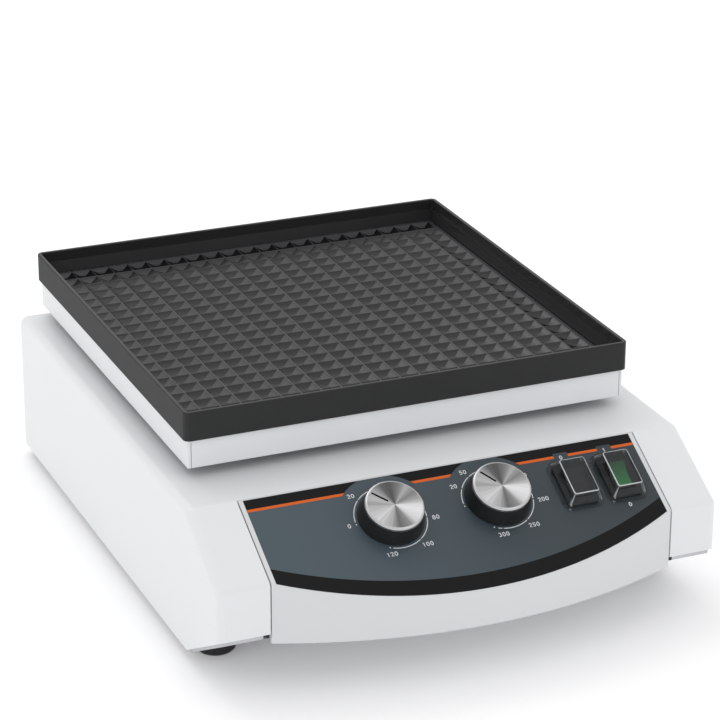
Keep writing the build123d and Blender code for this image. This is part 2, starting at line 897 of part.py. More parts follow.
def spindle(depth):
    """Round spindle from inside the unit to the hub of its knob."""
    top = knob_height - cap_thickness - knob_socket_cover
    return Pos(0, 0, (top - depth) / 2) * Cylinder(spindle_radius, top + depth)


def threaded_bush():
    """Bush of a panel-mounted control, bored for the spindle."""
    bottom = -console_wall - bush_reach
    return Pos(0, 0, (bush_height + bottom) / 2) * Cylinder(bush_radius, bush_height - bottom)


def timer_unit():
    """Clockwork timer behind the panel."""
    depth = timer_unit_depth
    box = Pos(0, 0, -console_wall - unit_gap - depth / 2) * Box(timer_unit_size, timer_unit_size, depth)
    box = chamfer(box.edges().filter_by(Axis.Z), timer_unit_chamfer)
    unit = box + threaded_bush() - Cylinder(spindle_radius + running_fit, 2 * depth)
    return on_slope(timer_dial_x, dial_down_slope, unit)


def speed_unit():
    """Potentiometer behind the panel with its solder lugs."""
    depth = speed_unit_depth
    middle = -console_wall - unit_gap - depth / 2
    unit = Pos(0, 0, middle) * Cylinder(speed_unit_radius, depth) + threaded_bush()
    for offset in (-solder_lug_pitch, 0, solder_lug_pitch):
        unit += Pos(offset, -speed_unit_radius - solder_lug_reach, middle) * Box(
            solder_lug_width, solder_lug_length, solder_lug_thickness)
    unit -= Cylinder(spindle_radius + running_fit, 2 * depth)
    return on_slope(speed_dial_x, dial_down_slope, unit)


def spindle_nuts():
    """Hexagon nuts that clamp both units to the panel."""
    nut = extrude(RegularPolygon(nut_size / 2, 6, major_radius=False), nut_thickness)
    nut -= Cylinder(bush_radius + slip_fit, 4 * nut_thickness)
    return Compound(children=[
        on_slope(x, dial_down_slope, nut) for x in (timer_dial_x, speed_dial_x)
    ])


def knob_body(x):
    """Moulded knob: tapered skirt, hollow below, with a hub for the spindle."""
    top = knob_height - cap_thickness
    roof = top - knob_wall
    skirt_inner = knob_base_radius - knob_wall
    outline = [
        (spindle_radius + slip_fit, bush_height + bush_end_gap),
        (knob_hub_radius, bush_height + bush_end_gap),
        (knob_hub_radius, roof), (knob_top_radius - knob_wall, roof), (skirt_inner, knob_gap),
        (knob_base_radius, knob_gap), (knob_top_radius, top), (0, top),
        (0, top - knob_socket_cover),
        (spindle_radius + slip_fit, top - knob_socket_cover),
    ]
    return on_slope(x, dial_down_slope, turned(outline))


def knob_cap(x, pointer_angle):
    """Spun disc on the knob with a rounded rim and an engraved pointer."""
    bottom = knob_height - cap_thickness
    cap = Pos(0, 0, bottom + cap_thickness / 2) * Cylinder(knob_top_radius, cap_thickness)
    cap = fillet(cap.edges().filter_by(GeomType.CIRCLE).group_by(Axis.Z)[-1], cap_edge_radius)
    groove = slab((pointer_inner, pointer_outer), (-pointer_width / 2, pointer_width / 2),
                  (knob_height - pointer_depth, knob_height + overcut))
    return on_slope(x, dial_down_slope, cap - Rot(0, 0, pointer_angle) * groove)


def rounded_box(width, length, bottom, top, corner):
    """Upright box with rounded corners between two heights."""
    outline = RectangleRounded(width, length, corner)
    return Pos(0, 0, bottom) * extrude(outline, top - bottom)


def switch_body(x):
    """Bezel and body of a rocker switch with the well for its rocker."""
    bezel = rounded_box(bezel_width, bezel_length, 0, bezel_thickness, bezel_corner)
    body = Pos(0, 0, -switch_body_depth / 2) * Box(switch_body_width, switch_body_length, switch_body_depth)
    well_width = rocker_width + 2 * rocker_gap
    well = Pos(0, 0, rocker_pivot) * Rot(0, 90, 0) * Cylinder(rocker_length / 2 + rocker_gap, well_width)
    pin_hole = Cylinder(rocker_pin_radius + running_fit, rocker_width + 2 * (rocker_pin_reach + panel_fit))
    switch = bezel + body - well - Pos(0, 0, rocker_pivot) * Rot(0, 90, 0) * pin_hole
    lug = Box(switch_lug_thickness, switch_lug_width, switch_lug_length)
    for offset in (-switch_lug_pitch, 0, switch_lug_pitch):
        switch += Pos(0, offset, -switch_body_depth - switch_lug_reach) * lug
    return on_slope(x, switch_down_slope, switch)


def rocker(x):
    """Rocker with two facets that meet in a valley, tipped to one of its two states."""
    end_height = rocker_valley + rocker_length / 2 * tan(radians(rocker_tilt))
    floor = -rocker_length / 2
    outline = [
        (-rocker_length / 2, floor), (rocker_length / 2, floor), (rocker_length / 2, end_height),
        (0, rocker_valley), (-rocker_length / 2, end_height),
    ]
    wedge = extrude(make_face(Plane.YZ * Polyline(*outline, close=True)), rocker_width / 2, both=True)
    swing = Rot(0, 90, 0) * Cylinder(rocker_length / 2, rocker_width)
    pins = Rot(0, 90, 0) * Cylinder(rocker_pin_radius, rocker_width + 2 * rocker_pin_reach)
    tipped = Rot(rocker_tilt, 0, 0) * ((wedge & swing) + pins)
    return on_slope(x, switch_down_slope, Pos(0, 0, rocker_pivot) * tipped)


def hood(width, length, height, corner):
    """Rounded block with an upright shoulder and drafted walls above it."""
    outline = RectangleRounded(width, length, corner)
    shoulder = extrude(outline, cover_shoulder)
    return shoulder + Pos(0, 0, cover_shoulder) * extrude(outline, height - cover_shoulder, taper=cover_draft)


def splash_cover(x):
    """Clear moulded cover that stands over a rocker switch."""
    flange = rounded_box(cover_width, cover_length, 0, cover_flange, cover_flange_corner)
    inner_width = bezel_width + 2 * rocker_gap
    inner_length = bezel_length + 2 * rocker_gap
    dome = hood(inner_width + 2 * cover_wall, inner_length + 2 * cover_wall, cover_height, cover_corner)
    dome = fillet(dome.edges().group_by(Axis.Z)[-1], cover_edge_radius)
    hollow = hood(inner_width, inner_length, cover_height - cover_wall, cover_corner - cover_wall)
    return on_slope(x, switch_down_slope, flange + dome - hollow)


def control_board():
    """Printed board with its heat sink, capacitors and transformer."""
    bottom = chassis_top + pillar_height
    top = bottom + board_thickness
    board = slab((board_x - board_width / 2, board_x + board_width / 2),
                 (board_y - board_depth / 2, board_y + board_depth / 2), (bottom, top))
    for x, y in board_screw_places():
        board -= rod(m3 + screw_clearance, 0, body_height, x, y)
    coil_x, coil_y = transformer_offset
    board += Pos(board_x + coil_x, board_y + coil_y, top + transformer_height / 2) * Box(
        transformer_width, transformer_depth, transformer_height)
    for dx, dy in capacitor_offsets:
        board += rod(capacitor_radius, top, top + capacitor_height, board_x + dx, board_y + dy)
    fin_y = (board_y + sink_y, board_y + sink_y + fin_depth)
    for fin in range(fin_count):
        left = board_x + sink_x + fin_pitch * fin
        board += slab((left, left + fin_thickness), fin_y, (top, top + fin_height))
    core_y = board_y + sink_y + (fin_depth - sink_core) / 2
    board += slab((board_x + sink_x, board_x + sink_x + fin_pitch * (fin_count - 1)),
                  (core_y, core_y + sink_core), (top, top + fin_height))
    return board


def board_pillars():
    """Hexagon pillars that hold the board off the chassis."""
    pillars = []
    for x, y in board_screw_places():
        pillar = extrude(RegularPolygon(pillar_radius, 6), pillar_height)
        pillar -= Cylinder(m3 + slip_fit, 4 * pillar_height)
        pillars.append(Pos(x, y, chassis_top) * pillar)
    return Compound(children=pillars)


def mains_inlet():
    """Three-pole appliance inlet with its flange on the back wall."""
    into = Pos(inlet_x, back_y, inlet_height) * Rot(-90, 0, 0)
    flange = extrude(RectangleRounded(inlet_flange_width, inlet_flange_height, inlet_corner), inlet_flange)
    depth = inlet_body_depth
    body = Pos(0, 0, -depth / 2) * Box(inlet_body_width, inlet_body_height, depth)
    half_width, half_height = socket_width / 2, socket_height / 2
    mouth = Polyline(
        (-half_width, -half_height), (half_width, -half_height),
        (half_width, half_height - socket_chamfer), (half_width - socket_chamfer, half_height),
        (socket_chamfer - half_width, half_height), (-half_width, half_height - socket_chamfer),
        close=True,
    )
    floor = inlet_flange - socket_depth
    socket = Pos(0, 0, floor) * extrude(make_face(mouth), socket_depth + overcut)
    inlet = flange + body - socket
    for offset, rise in ((-blade_spread, -blade_rise), (0, blade_rise), (blade_spread, -blade_rise)):
        inlet += Pos(offset, rise, floor + blade_length / 2) * Box(blade_thickness, blade_width, blade_length)
    for side in (-1, 1):
        inlet -= Pos(side * inlet_screw_spread, 0, 0) * Cylinder(m3 + screw_clearance, 4 * inlet_flange)
    return into * inlet


def inlet_screws():
    """Countersunk screws of the mains inlet, flush with its flange."""
    into = Pos(inlet_x, back_y, inlet_height) * Rot(-90, 0, 0)
    screws = []
    for side in (-1, 1):
        shank = Pos(side * inlet_screw_spread, 0, inlet_flange - screw_length / 2) * Cylinder(
            m3, screw_length)
        screws.append(into * shank)
    return Compound(children=screws)


def platform_pan():
    """Folded sheet pan: a flat top with four flanges that meet at open corner seams."""
    half = tray_size / 2 - platform_inset
    outer = rounded_box(2 * half, 2 * half, platform_bottom, platform_top, platform_sheet / 2)
    outer = fillet(outer.edges().group_by(Axis.Z)[-1], platform_sheet / 2)
    inner_half = half - platform_sheet
    inner = slab((-inner_half, inner_half), (-inner_half, inner_half),
                 (platform_bottom - overcut, plate_bottom))
    pan = Pos(platform_x, platform_y, 0) * (outer - inner)
    for side_x in (-1, 1):
        for side_y in (-1, 1):
            seam_x = platform_x + side_x * (inner_half - platform_seam / 2)
            edge_y = platform_y + side_y * (half - platform_sheet / 2)
            pan -= slab((seam_x - platform_seam / 2, seam_x + platform_seam / 2),
                        (edge_y - platform_sheet, edge_y + platform_sheet),
                        (platform_bottom - overcut, plate_bottom))
    for x, y in platform_screw_places():
        pan -= rod(m3 + screw_clearance, plate_bottom - overcut, platform_top + overcut, x, y)
        pan -= Pos(x, y, platform_top - m3_head_height / 2) * Cone(
            m3, m3_head + m3_head_height / 2, m3_head_height)
    return pan


def platform_screw_places():
    """Screws that hold the hub and the three bosses to the platform."""
    places = ring_places(hub_bolt_count, hub_bolt_radius, platform_x, platform_y)
    for x, y in idler_places.values():
        places += ring_places(boss_bolt_count, boss_bolt_radius, x + pin_dx, y + pin_dy, 0)
    return places


def platform_hub():
    """Flanged hub under the platform for the bearing on the crank pin."""
    bottom = disc_top + disc_clearance
    seat = small_bearing_radius + slip_fit
    well_top = bottom + small_bearing_width + column_shoulder
    outline = [
        (seat, bottom), (hub_radius, bottom), (hub_radius, plate_bottom - hub_flange),
        (hub_flange_radius, plate_bottom - hub_flange), (hub_flange_radius, plate_bottom),
        (0, plate_bottom), (0, disc_top + pin_height + pin_end_gap),
        (seat - column_shoulder, disc_top + pin_height + pin_end_gap),
        (seat - column_shoulder, well_top), (seat, well_top),
    ]
    hub = turned(outline, platform_x, platform_y)
    for x, y in ring_places(hub_bolt_count, hub_bolt_radius, platform_x, platform_y):
        hub -= rod(m3 + slip_fit, 0, body_height * 2, x, y)
    return hub


def hub_bearing():
    """Bearing between the crank pin and the platform hub."""
    bottom = disc_top + disc_clearance + column_shoulder
    outline = bearing(crank_pin_radius + running_fit, small_bearing_radius, small_bearing_width, bottom)
    return turned(outline, platform_x, platform_y)


def platform_bosses():
    """Three bosses under the platform for the pins of the idlers."""
    bottom = disc_top + disc_clearance
    bore = idler_pin_radius + open_pivot_fit + bush_wall + slip_fit
    bosses = []
    for x, y in idler_places.values():
        outline = [
            (bore, bottom), (boss_outer_radius, bottom), (boss_outer_radius, plate_bottom - boss_flange),
            (boss_flange_radius, plate_bottom - boss_flange), (boss_flange_radius, plate_bottom),
            (bore, plate_bottom),
        ]
        boss = turned(outline, x + pin_dx, y + pin_dy)
        for hole_x, hole_y in ring_places(boss_bolt_count, boss_bolt_radius, x + pin_dx, y + pin_dy, 0):
            boss -= rod(m3 + slip_fit, 0, body_height * 2, hole_x, hole_y)
        bosses.append(boss)
    return Compound(children=bosses)


def idler_bushes():
    """Bronze bushes in the bosses, with play for the idler pins."""
    bottom = disc_top + disc_clearance
    bore = idler_pin_radius + open_pivot_fit
    bushes = []
    for x, y in idler_places.values():
        outline = [(bore, bottom), (bore + bush_wall, bottom), (bore + bush_wall, plate_bottom),
                   (bore, plate_bottom)]
        bushes.append(turned(outline, x + pin_dx, y + pin_dy))
    return Compound(children=bushes)


def platform_screws():
    """Countersunk screws flush with the top of the platform."""
    screws = []
    for x, y in platform_screw_places():
        head = Pos(0, 0, -m3_head_height / 2) * Cone(m3, m3_head, m3_head_height)
        shank = Pos(0, 0, -screw_length / 2) * Cylinder(m3, screw_length)
        clear = platform_top - platform_sheet - boss_flange
        piece = Pos(x, y, platform_top) * (head + shank)
        screws.append(piece & slab((x - m3_head, x + m3_head), (y - m3_head, y + m3_head),
                                   (clear, platform_top)))
    return Compound(children=screws)


def tray():
    """Moulded tray: thin rim, a ledge inside it and drafted lower walls."""
    outer = rounded_box(tray_size, tray_size, platform_top, tray_top, tray_corner)
    upper_size = tray_size - 2 * tray_rim
    upper = rounded_box(upper_size, upper_size, ledge_height, tray_top + overcut, tray_corner - tray_rim)
    lower_size = upper_size - 2 * ledge_width
    depth = ledge_height - mat_bottom
    floor_size = lower_size - 2 * tray_taper
    lower = Pos(0, 0, mat_bottom) * extrude(
        Rectangle(floor_size, floor_size), depth, taper=-degrees(atan2(tray_taper, depth)))
    shell = outer - upper - lower
    rim_edges = [edge for edge in shell.edges() if abs(edge.center().Z - tray_top) < 0.01]
    shell = fillet(rim_edges, rim_edge_radius)
    return Pos(platform_x, platform_y, 0) * shell


def grip_mat():
    """Rubber mat whose top is a grid of ridges round square pyramid pits."""
    top = mat_bottom + mat_thickness
    floor = top - pit_depth
    half = tray_size / 2 - tray_rim - ledge_width - tray_taper - mat_fit
    field = pit_pitch * pit_count / 2
    profile = [(-half, mat_bottom), (half, mat_bottom), (half, top)]
    for index in range(pit_count):
        right = field - index * pit_pitch
        profile += [(right - pit_land / 2, top), (right - pit_pitch / 2, floor),
                    (right - pit_pitch + pit_land / 2, top)]
    profile += [(-half, top)]

    def grooved(plane):
        return extrude(make_face(plane * Polyline(*profile, close=True)), half, both=True)

    border = rounded_box(2 * half, 2 * half, mat_bottom, top, mat_corner) - slab(
        (-field, field), (-field, field), (mat_bottom - overcut, top + overcut))
    mat = grooved(Plane.XZ) + grooved(Plane.YZ)
    return Pos(platform_x, platform_y, 0) * (mat + border)


nodes = {
    "housing_cover": housing_cover(),
    "front_console": front_console(),
    "control_panel": control_panel(),
    "base_pan": base_pan(),
    "chassis_plate": chassis_plate(),
    "main_bearing_housing": main_bearing_housing(),
    "lower_bearing": turned(bearing(shaft_radius + running_fit, main_bearing_radius, main_bearing_width,
                                    chassis_top + column_flange), orbit_x, orbit_y),
    "upper_bearing": turned(bearing(shaft_radius + running_fit, main_bearing_radius, main_bearing_width,
                                    column_top - main_bearing_width), orbit_x, orbit_y),
    "idler_bearings": idler_bearings(),
    "column_screws": column_screws(),
    "motor": motor(),
    "motor_mount": motor_mount(),
    "motor_screws": screws_at(motor_screw_places(), chassis_top + motor_mount_thickness,
                              m3, m3_head, m3_head_height, screw_length),
    "drive_belt": drive_belt(),
    "timer_unit": timer_unit(),
    "speed_unit": speed_unit(),
    "spindle_nuts": spindle_nuts(),
    "timer_switch": switch_body(timer_switch_x),
    "power_switch": switch_body(power_switch_x),
    "timer_splash_cover": splash_cover(timer_switch_x),
    "power_splash_cover": splash_cover(power_switch_x),
    "control_board": control_board(),
    "board_pillars": board_pillars(),
    "board_screws": screws_at(board_screw_places(), chassis_top + pillar_height + board_thickness,
                              m3, m3_head, m3_head_height, board_thickness + board_screw_grip),
    "mains_inlet": mains_inlet(),
    "inlet_screws": inlet_screws(),
    "foot_screws": screws_at(list(foot_places.values()), pan_height / 2, m4, m4_head, m4_head_height,
                             screw_length, -1),
    "cover_screws": screws_at(boss_places, pan_height, m4, m4_head, m4_head_height,
                              screw_length + chassis_thickness, -1),
    "drive_shaft": drive_shaft(),
    "crank_disc": crank_disc(),
    "drive_pulley": drive_pulley(),
    "counterweight": counterweight(),
    "motor_shaft": motor_shaft(),
    "motor_pulley": motor_pulley(),
    "platform_pan": platform_pan(),
    "platform_hub": platform_hub(),
    "hub_bearing": hub_bearing(),
    "platform_bosses": platform_bosses(),
    "idler_bushes": idler_bushes(),
    "platform_screws": platform_screws(),
    "tray": tray(),
    "grip_mat": grip_mat(),
    "timer_knob": knob_body(timer_dial_x),
    "timer_knob_cap": knob_cap(timer_dial_x, timer_pointer_angle),
    "timer_spindle": on_slope(timer_dial_x, dial_down_slope, spindle(timer_unit_depth / 2)),
    "speed_knob": knob_body(speed_dial_x),
    "speed_knob_cap": knob_cap(speed_dial_x, speed_pointer_angle),
    "speed_spindle": on_slope(speed_dial_x, dial_down_slope, spindle(speed_unit_depth / 2)),
    "timer_rocker": rocker(timer_switch_x),
    "power_rocker": rocker(power_switch_x),
}
for place, (x, y) in foot_places.items():
    nodes["foot_" + place] = foot(x, y)
for side, (x, y) in idler_places.items():
    nodes["idler_column_" + side] = idler_column(x, y)
    nodes["idler_crank_" + side] = idler_crank(x, y)

os.makedirs("parts", exist_ok=True)
for name, shape in nodes.items():
    export_step(shape, f"parts/{name}.step")
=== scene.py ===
"""Orbital shaker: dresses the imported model, whose square tray circles above a bowed console."""
import json
from math import atan2, ceil, cos, pi, radians, sin, sqrt

import bpy
from bpy.props import FloatProperty, FloatVectorProperty, PointerProperty
from mathutils import Matrix, Vector


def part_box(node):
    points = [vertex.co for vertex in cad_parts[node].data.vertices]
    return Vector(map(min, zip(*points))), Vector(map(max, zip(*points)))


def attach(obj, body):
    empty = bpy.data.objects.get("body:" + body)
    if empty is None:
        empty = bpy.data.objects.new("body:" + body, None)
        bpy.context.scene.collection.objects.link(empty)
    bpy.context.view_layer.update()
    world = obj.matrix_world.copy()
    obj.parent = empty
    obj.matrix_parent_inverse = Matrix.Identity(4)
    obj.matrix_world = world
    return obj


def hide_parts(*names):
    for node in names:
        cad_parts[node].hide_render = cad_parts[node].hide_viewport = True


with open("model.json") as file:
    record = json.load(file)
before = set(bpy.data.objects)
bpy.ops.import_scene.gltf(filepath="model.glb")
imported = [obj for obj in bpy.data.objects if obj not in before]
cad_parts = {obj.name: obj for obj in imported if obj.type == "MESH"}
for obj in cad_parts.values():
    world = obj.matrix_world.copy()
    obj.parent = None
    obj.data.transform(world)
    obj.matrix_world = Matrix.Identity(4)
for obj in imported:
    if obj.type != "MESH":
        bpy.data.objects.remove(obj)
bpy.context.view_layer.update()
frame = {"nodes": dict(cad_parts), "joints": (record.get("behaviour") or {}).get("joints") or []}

bl_info = {
    "name": "Orbital Shaker Dressing",
    "version": (1, 0, 0),
    "blender": (4, 5, 0),
    "location": "View3D > Sidebar > Shaker",
    "description": "Finishes, printed scales, grip mat and studio for an orbital shaker",
    "category": "Object",
}

MM = 0.001
JOINTS = {joint["name"]: joint for joint in frame["joints"]}

# The console's slope: x to the right, down the slope, and out of the panel
SLOPE_OUT = Vector(JOINTS["timer_knob_turn"]["axis"])
SLOPE_DOWN = Vector((0.0, -SLOPE_OUT.z, SLOPE_OUT.y))
TIMER_DIAL = Vector(JOINTS["timer_knob_turn"]["pos_m"])
SPEED_DIAL = Vector(JOINTS["speed_knob_turn"]["pos_m"])
ACROSS = (1.0, 0.0, 0.0)
TRAY_CENTRE = Vector(JOINTS["platform_orbit"]["pos_m"])

# Panel and its print, in millimetres: places are given down the slope from the panel's top
DIAL_DOWN = 30.7
INK_MARGIN = 0.15
STRIP_LIFT, LINE_LIFT, MARK_LIFT = 0.03, 0.035, 0.04
TAB_HALF_WIDTH, TAB_SHIFT, TAB_DROP = 4.7, 0.5, 1.6
BAND_STEPS = 420
CONSOLE_HALF_WIDTH, BOW_RISE, BOW_INSET = 128.0, 26.5, 0.9

# Scales in degrees, counter-clockwise from the right: first dot, last dot, end of the arc, numerals
TIMER_SCALE = (181.6, -111.5, -106.0, (("0", 181.6), ("20", 132.8), ("40", 84.0), ("60", 35.2),
                                       ("80", -10.6), ("100", -56.0), ("120", -108.6)))
SPEED_SCALE = (183.5, -117.0, -110.5, (("20", 149.5), ("50", 121.5), ("100", 77.0), ("150", 32.0),
                                       ("200", -12.5), ("250", -57.0), ("300", -103.5)))
ARC_START, MARK_GAP, ARC_STEP = 5.0, 1.6, 3.0
HIDDEN_FROM, HIDDEN_TO = 25.0, 100.0
TIMER_POINTER, SPEED_POINTER = 135.5, 128.7

# Marks of the switches: joint, text, shift to the left, place down the slope, height
SWITCH_MARKS = (
    ("timer_rocker_tilt", "0", 0.9, 9.9, 2.9),
    ("power_rocker_tilt", "1", 0.9, 9.9, 2.9),
    ("power_rocker_tilt", "0", 1.2, 51.6, 3.0),
)

# Numerals as shares of their height
ADVANCE, BEARING, STROKE = 0.82, 0.07, 0.16


def linear(red, green, blue):
    """Linear colour of a display colour given from 0 to 255."""
    def one(value):
        share = value / 255
        return share / 12.92 if share <= 0.04045 else ((share + 0.055) / 1.055) ** 2.4

    return (one(red), one(green), one(blue), 1.0)


class Signal:
    """A value, colour or vector of one finish, ready for arithmetic."""

    def __init__(self, finish, socket):
        self.finish = finish
        self.socket = socket

    def __add__(self, other):
        return self.finish.maths("ADD", self, other)

    __radd__ = __add__

    def __sub__(self, other):
        return self.finish.maths("SUBTRACT", self, other)

    def __rsub__(self, other):
        return self.finish.maths("SUBTRACT", other, self)

    def __mul__(self, other):
        return self.finish.maths("MULTIPLY", self, other)

    __rmul__ = __mul__

    def __truediv__(self, other):
        return self.finish.maths("DIVIDE", self, other)

    def __rtruediv__(self, other):
        return self.finish.maths("DIVIDE", other, self)

    def __pow__(self, other):
        return self.finish.maths("POWER", self, other)

    def __gt__(self, other):
        return self.finish.maths("GREATER_THAN", self, other)

    def __lt__(self, other):
        return self.finish.maths("LESS_THAN", self, other)


class Finish:
    """One material and the nodes that make its surface."""

    def __init__(self, name):
        self.material = bpy.data.materials.new(name)
        self.material.use_nodes = True
        self.nodes = self.material.node_tree.nodes
        self.links = self.material.node_tree.links
        self.nodes.clear()

    def add(self, kind, settings=(), inputs=(), output=0):
        """Adds a node: its settings first, then the values or links of its sockets."""
        node = self.nodes.new(kind)
        for key, value in dict(settings).items():
            if key == "stops":
                ramp = node.color_ramp
                ramp.elements.remove(ramp.elements[1])
                ramp.elements[0].position, ramp.elements[0].color = value[0]
                for place, colour in value[1:]:
                    ramp.elements.new(place).color = colour
            else:
                setattr(node, key, value)
        for key, value in dict(inputs).items():
            if isinstance(value, Signal):
                self.links.new(value.socket, node.inputs[key])
            else:
                node.inputs[key].default_value = value
        return Signal(self, node.outputs[output])

    def maths(self, operation, *values):
        """One maths node on its values."""
        return self.add("ShaderNodeMath", {"operation": operation}, dict(enumerate(values)))

    def place(self):
        """Point on the piece in the row frame, in metres."""
        return self.add("ShaderNodeTexCoord", output="Object")

    def along(self, point, direction, start):
        """Distance from a start point along a direction, in millimetres."""
        return (self.dot(point, direction) - Vector(direction).dot(start)) / MM

    def dot(self, vector, direction):
        """Share of a vector along a direction."""
        return self.add("ShaderNodeVectorMath", {"operation": "DOT_PRODUCT"},
                        {0: vector, 1: tuple(direction)}, "Value")

    def grain(self, point, size, detail=2.0, stretch=None):
        """Soft noise from 0 to 1 with blotches of a size in millimetres."""
        if stretch:
            point = self.add("ShaderNodeMapping", inputs={"Vector": point, "Scale": stretch})
        return self.add("ShaderNodeTexNoise", inputs={
            "Vector": point, "Scale": 1000.0 / size, "Detail": detail, "Roughness": 0.55})

    def blend(self, share, first, second):
        """Colour between two colours."""
        return self.add("ShaderNodeMix", {"data_type": "RGBA"}, {0: share, 6: first, 7: second}, 2)

    def step(self, value, low, high):
        """Smooth step of a value from 0 at low to 1 at high."""
        return self.add("ShaderNodeMapRange", {"interpolation_type": "SMOOTHSTEP"},
                        {0: value, 1: low, 2: high, 3: 0.0, 4: 1.0})

    def bump(self, height, depth):
        """Normal of a height from 0 to 1 over a depth in millimetres."""
        return self.add("ShaderNodeBump", inputs={
            "Strength": 1.0, "Distance": depth * MM, "Height": height})

    def close(self, **sockets):
        """Ends the finish in one principled surface and returns the material."""
        names = {name.replace("_", " ").title(): value for name, value in sockets.items()}
        names = {name.replace("Ior", "IOR"): value for name, value in names.items()}
        surface = self.add("ShaderNodeBsdfPrincipled", inputs=names)
        output = self.nodes.new("ShaderNodeOutputMaterial")
        self.links.new(surface.socket, output.inputs["Surface"])
        return self.material


def shade(colour, factor):
    """A colour made darker or lighter by a factor."""
    return tuple(channel * factor for channel in colour[:3]) + (1.0,)


def powder_coat(name, colour, roughness):
    """Baked paint on sheet: very fine orange peel and a faint cloudiness."""
    finish = Finish(name)
    point = finish.place()
    cloud = finish.grain(point, 90.0, 3.0)
    peel = finish.grain(point, 1.3, 2.0)
    smudge = finish.grain(point, 24.0, 4.0)
    return finish.close(
        base_color=finish.blend(cloud, shade(colour, 0.975), colour),
        roughness=roughness + 0.07 * smudge,
        normal=finish.bump(peel, 0.012),
        coat_roughness=0.12,
        coat_weight=0.12,
    )


def moulding(name, colour, roughness, texture, depth):
    """Injection moulding with a spark-eroded texture."""
    finish = Finish(name)
    point = finish.place()
    spark = finish.grain(point, texture, 3.0)
    haze = finish.grain(point, 18.0, 3.0)
    return finish.close(
        base_color=finish.blend(haze, shade(colour, 0.88), shade(colour, 1.08)),
        roughness=roughness + 0.1 * spark - 0.05 * haze,
        normal=finish.bump(spark, depth),
    )


def rolled_sheet(name, colour, roughness, stretch):
    """Zinc-coated sheet with a grain along one direction."""
    finish = Finish(name)
    point = finish.place()
    lines = finish.grain(point, 0.6, 4.0, stretch)
    spangle = finish.grain(point, 9.0, 3.0)
    return finish.close(
        base_color=finish.blend(spangle, shade(colour, 0.82), shade(colour, 1.1)),
        metallic=1.0,
        roughness=roughness + 0.16 * lines,
        normal=finish.bump(lines, 0.01),
    )


def cast_metal(name, colour, roughness, metallic=1.0):
    """Cast or ground metal with a fine skin."""
    finish = Finish(name)
    point = finish.place()
    skin = finish.grain(point, 0.9, 4.0)
    patch = finish.grain(point, 15.0, 2.0)
    return finish.close(
        base_color=finish.blend(patch, shade(colour, 0.85), shade(colour, 1.08)),
        metallic=metallic,
        roughness=roughness + 0.15 * skin,
        normal=finish.bump(skin, 0.02),
    )


# Painted reflection of a spun disc: light and dark fans, counter-clockwise from the left as shares of a
# turn
PAINTED_REFLECTION_STOPS = [(place, (level, level, level, 1.0)) for place, level in (
    (0.000, 0.60), (0.083, 0.80), (0.167, 0.50), (0.222, 0.16), (0.290, 0.30), (0.347, 0.85),
    (0.417, 1.00), (0.470, 0.90), (0.514, 0.45), (0.570, 0.26), (0.625, 0.50), (0.667, 0.24),
    (0.736, 0.08), (0.790, 0.12), (0.847, 0.42), (0.917, 0.60), (0.958, 0.42), (1.000, 0.60))]


def spun_disc(name, colour, centre, pointer_angle):
    """Spun metal face: turning rings, painted reflection in light and dark fans, a dark pointer."""
    finish = Finish(name)
    point = finish.place()
    right = finish.along(point, ACROSS, centre)
    upward = finish.along(point, -SLOPE_DOWN, centre)
    angle = finish.maths("ARCTAN2", upward, right)
    radius = (right * right + upward * upward) ** 0.5
    # Painted reflection: the fans and their streaks put light and dark into the cap's colour, so they
    # turn with the knob.
    painted_reflection_fans = finish.add("ShaderNodeValToRGB", {"stops": PAINTED_REFLECTION_STOPS}, {0: angle / (2 * pi) + 0.5})
    painted_reflection_streaks = finish.add("ShaderNodeTexNoise", {"noise_dimensions": "1D"},
                         {"W": angle * 9.0, "Scale": 1.0, "Detail": 4.0})
    level = finish.add("ShaderNodeSeparateColor", inputs={0: painted_reflection_fans}) * (0.66 + 0.36 * painted_reflection_streaks)
    rings = finish.add("ShaderNodeTexNoise", {"noise_dimensions": "1D"},
                       {"W": radius * 7.0, "Scale": 1.0, "Detail": 3.0})
    bevel_start = 16.6
    face = finish.step(radius, bevel_start, bevel_start - 0.3)
    share = level * face + (1.0 - face) * 0.55
    turned = finish.blend(share, shade(colour, 0.05), shade(colour, 1.2))
    turn = radians(pointer_angle)
    outward = right * cos(turn) + upward * sin(turn)
    aside = finish.maths("ABSOLUTE", upward * cos(turn) - right * sin(turn))
    pointer_inner, pointer_outer, pointer_half_width = 4.5, 15.4, 0.62
    pointer = (aside < pointer_half_width) * (outward > pointer_inner) * (outward < pointer_outer)
    return finish.close(
        base_color=finish.blend(pointer, turned, linear(22, 22, 23)),
        metallic=1.0,
        roughness=0.26 + 0.1 * rings,
        normal=finish.bump(rings, 0.012),
    )


def printed_ink(name, colour, roughness):
    """Screen-printed ink with slightly uneven cover."""
    finish = Finish(name)
    point = finish.place()
    cover = finish.grain(point, 0.7, 3.0)
    return finish.close(
        base_color=finish.blend(cover, shade(colour, 0.92), shade(colour, 1.04)),
        roughness=roughness + 0.08 * cover,
        normal=finish.bump(cover, 0.006),
        specular_ior_level=0.2,
    )


def panel_film(name, colour):
    """Slate film of the control panel: a fine matt grain, and a painted sheen that makes it paler
    toward the left.
    """
    finish = Finish(name)
    point = finish.place()
    grain = finish.grain(point, 0.35, 2.0)
    reach = 130.0
    # Painted sheen: the film is paler toward the left and darker toward the right.
    painted_sheen = finish.step(finish.along(point, ACROSS, Vector()), -reach, reach)
    return finish.close(
        base_color=finish.blend(painted_sheen, shade(colour, 1.6), shade(colour, 0.62)),
        roughness=0.36 + 0.08 * grain,
        normal=finish.bump(grain, 0.008),
    )


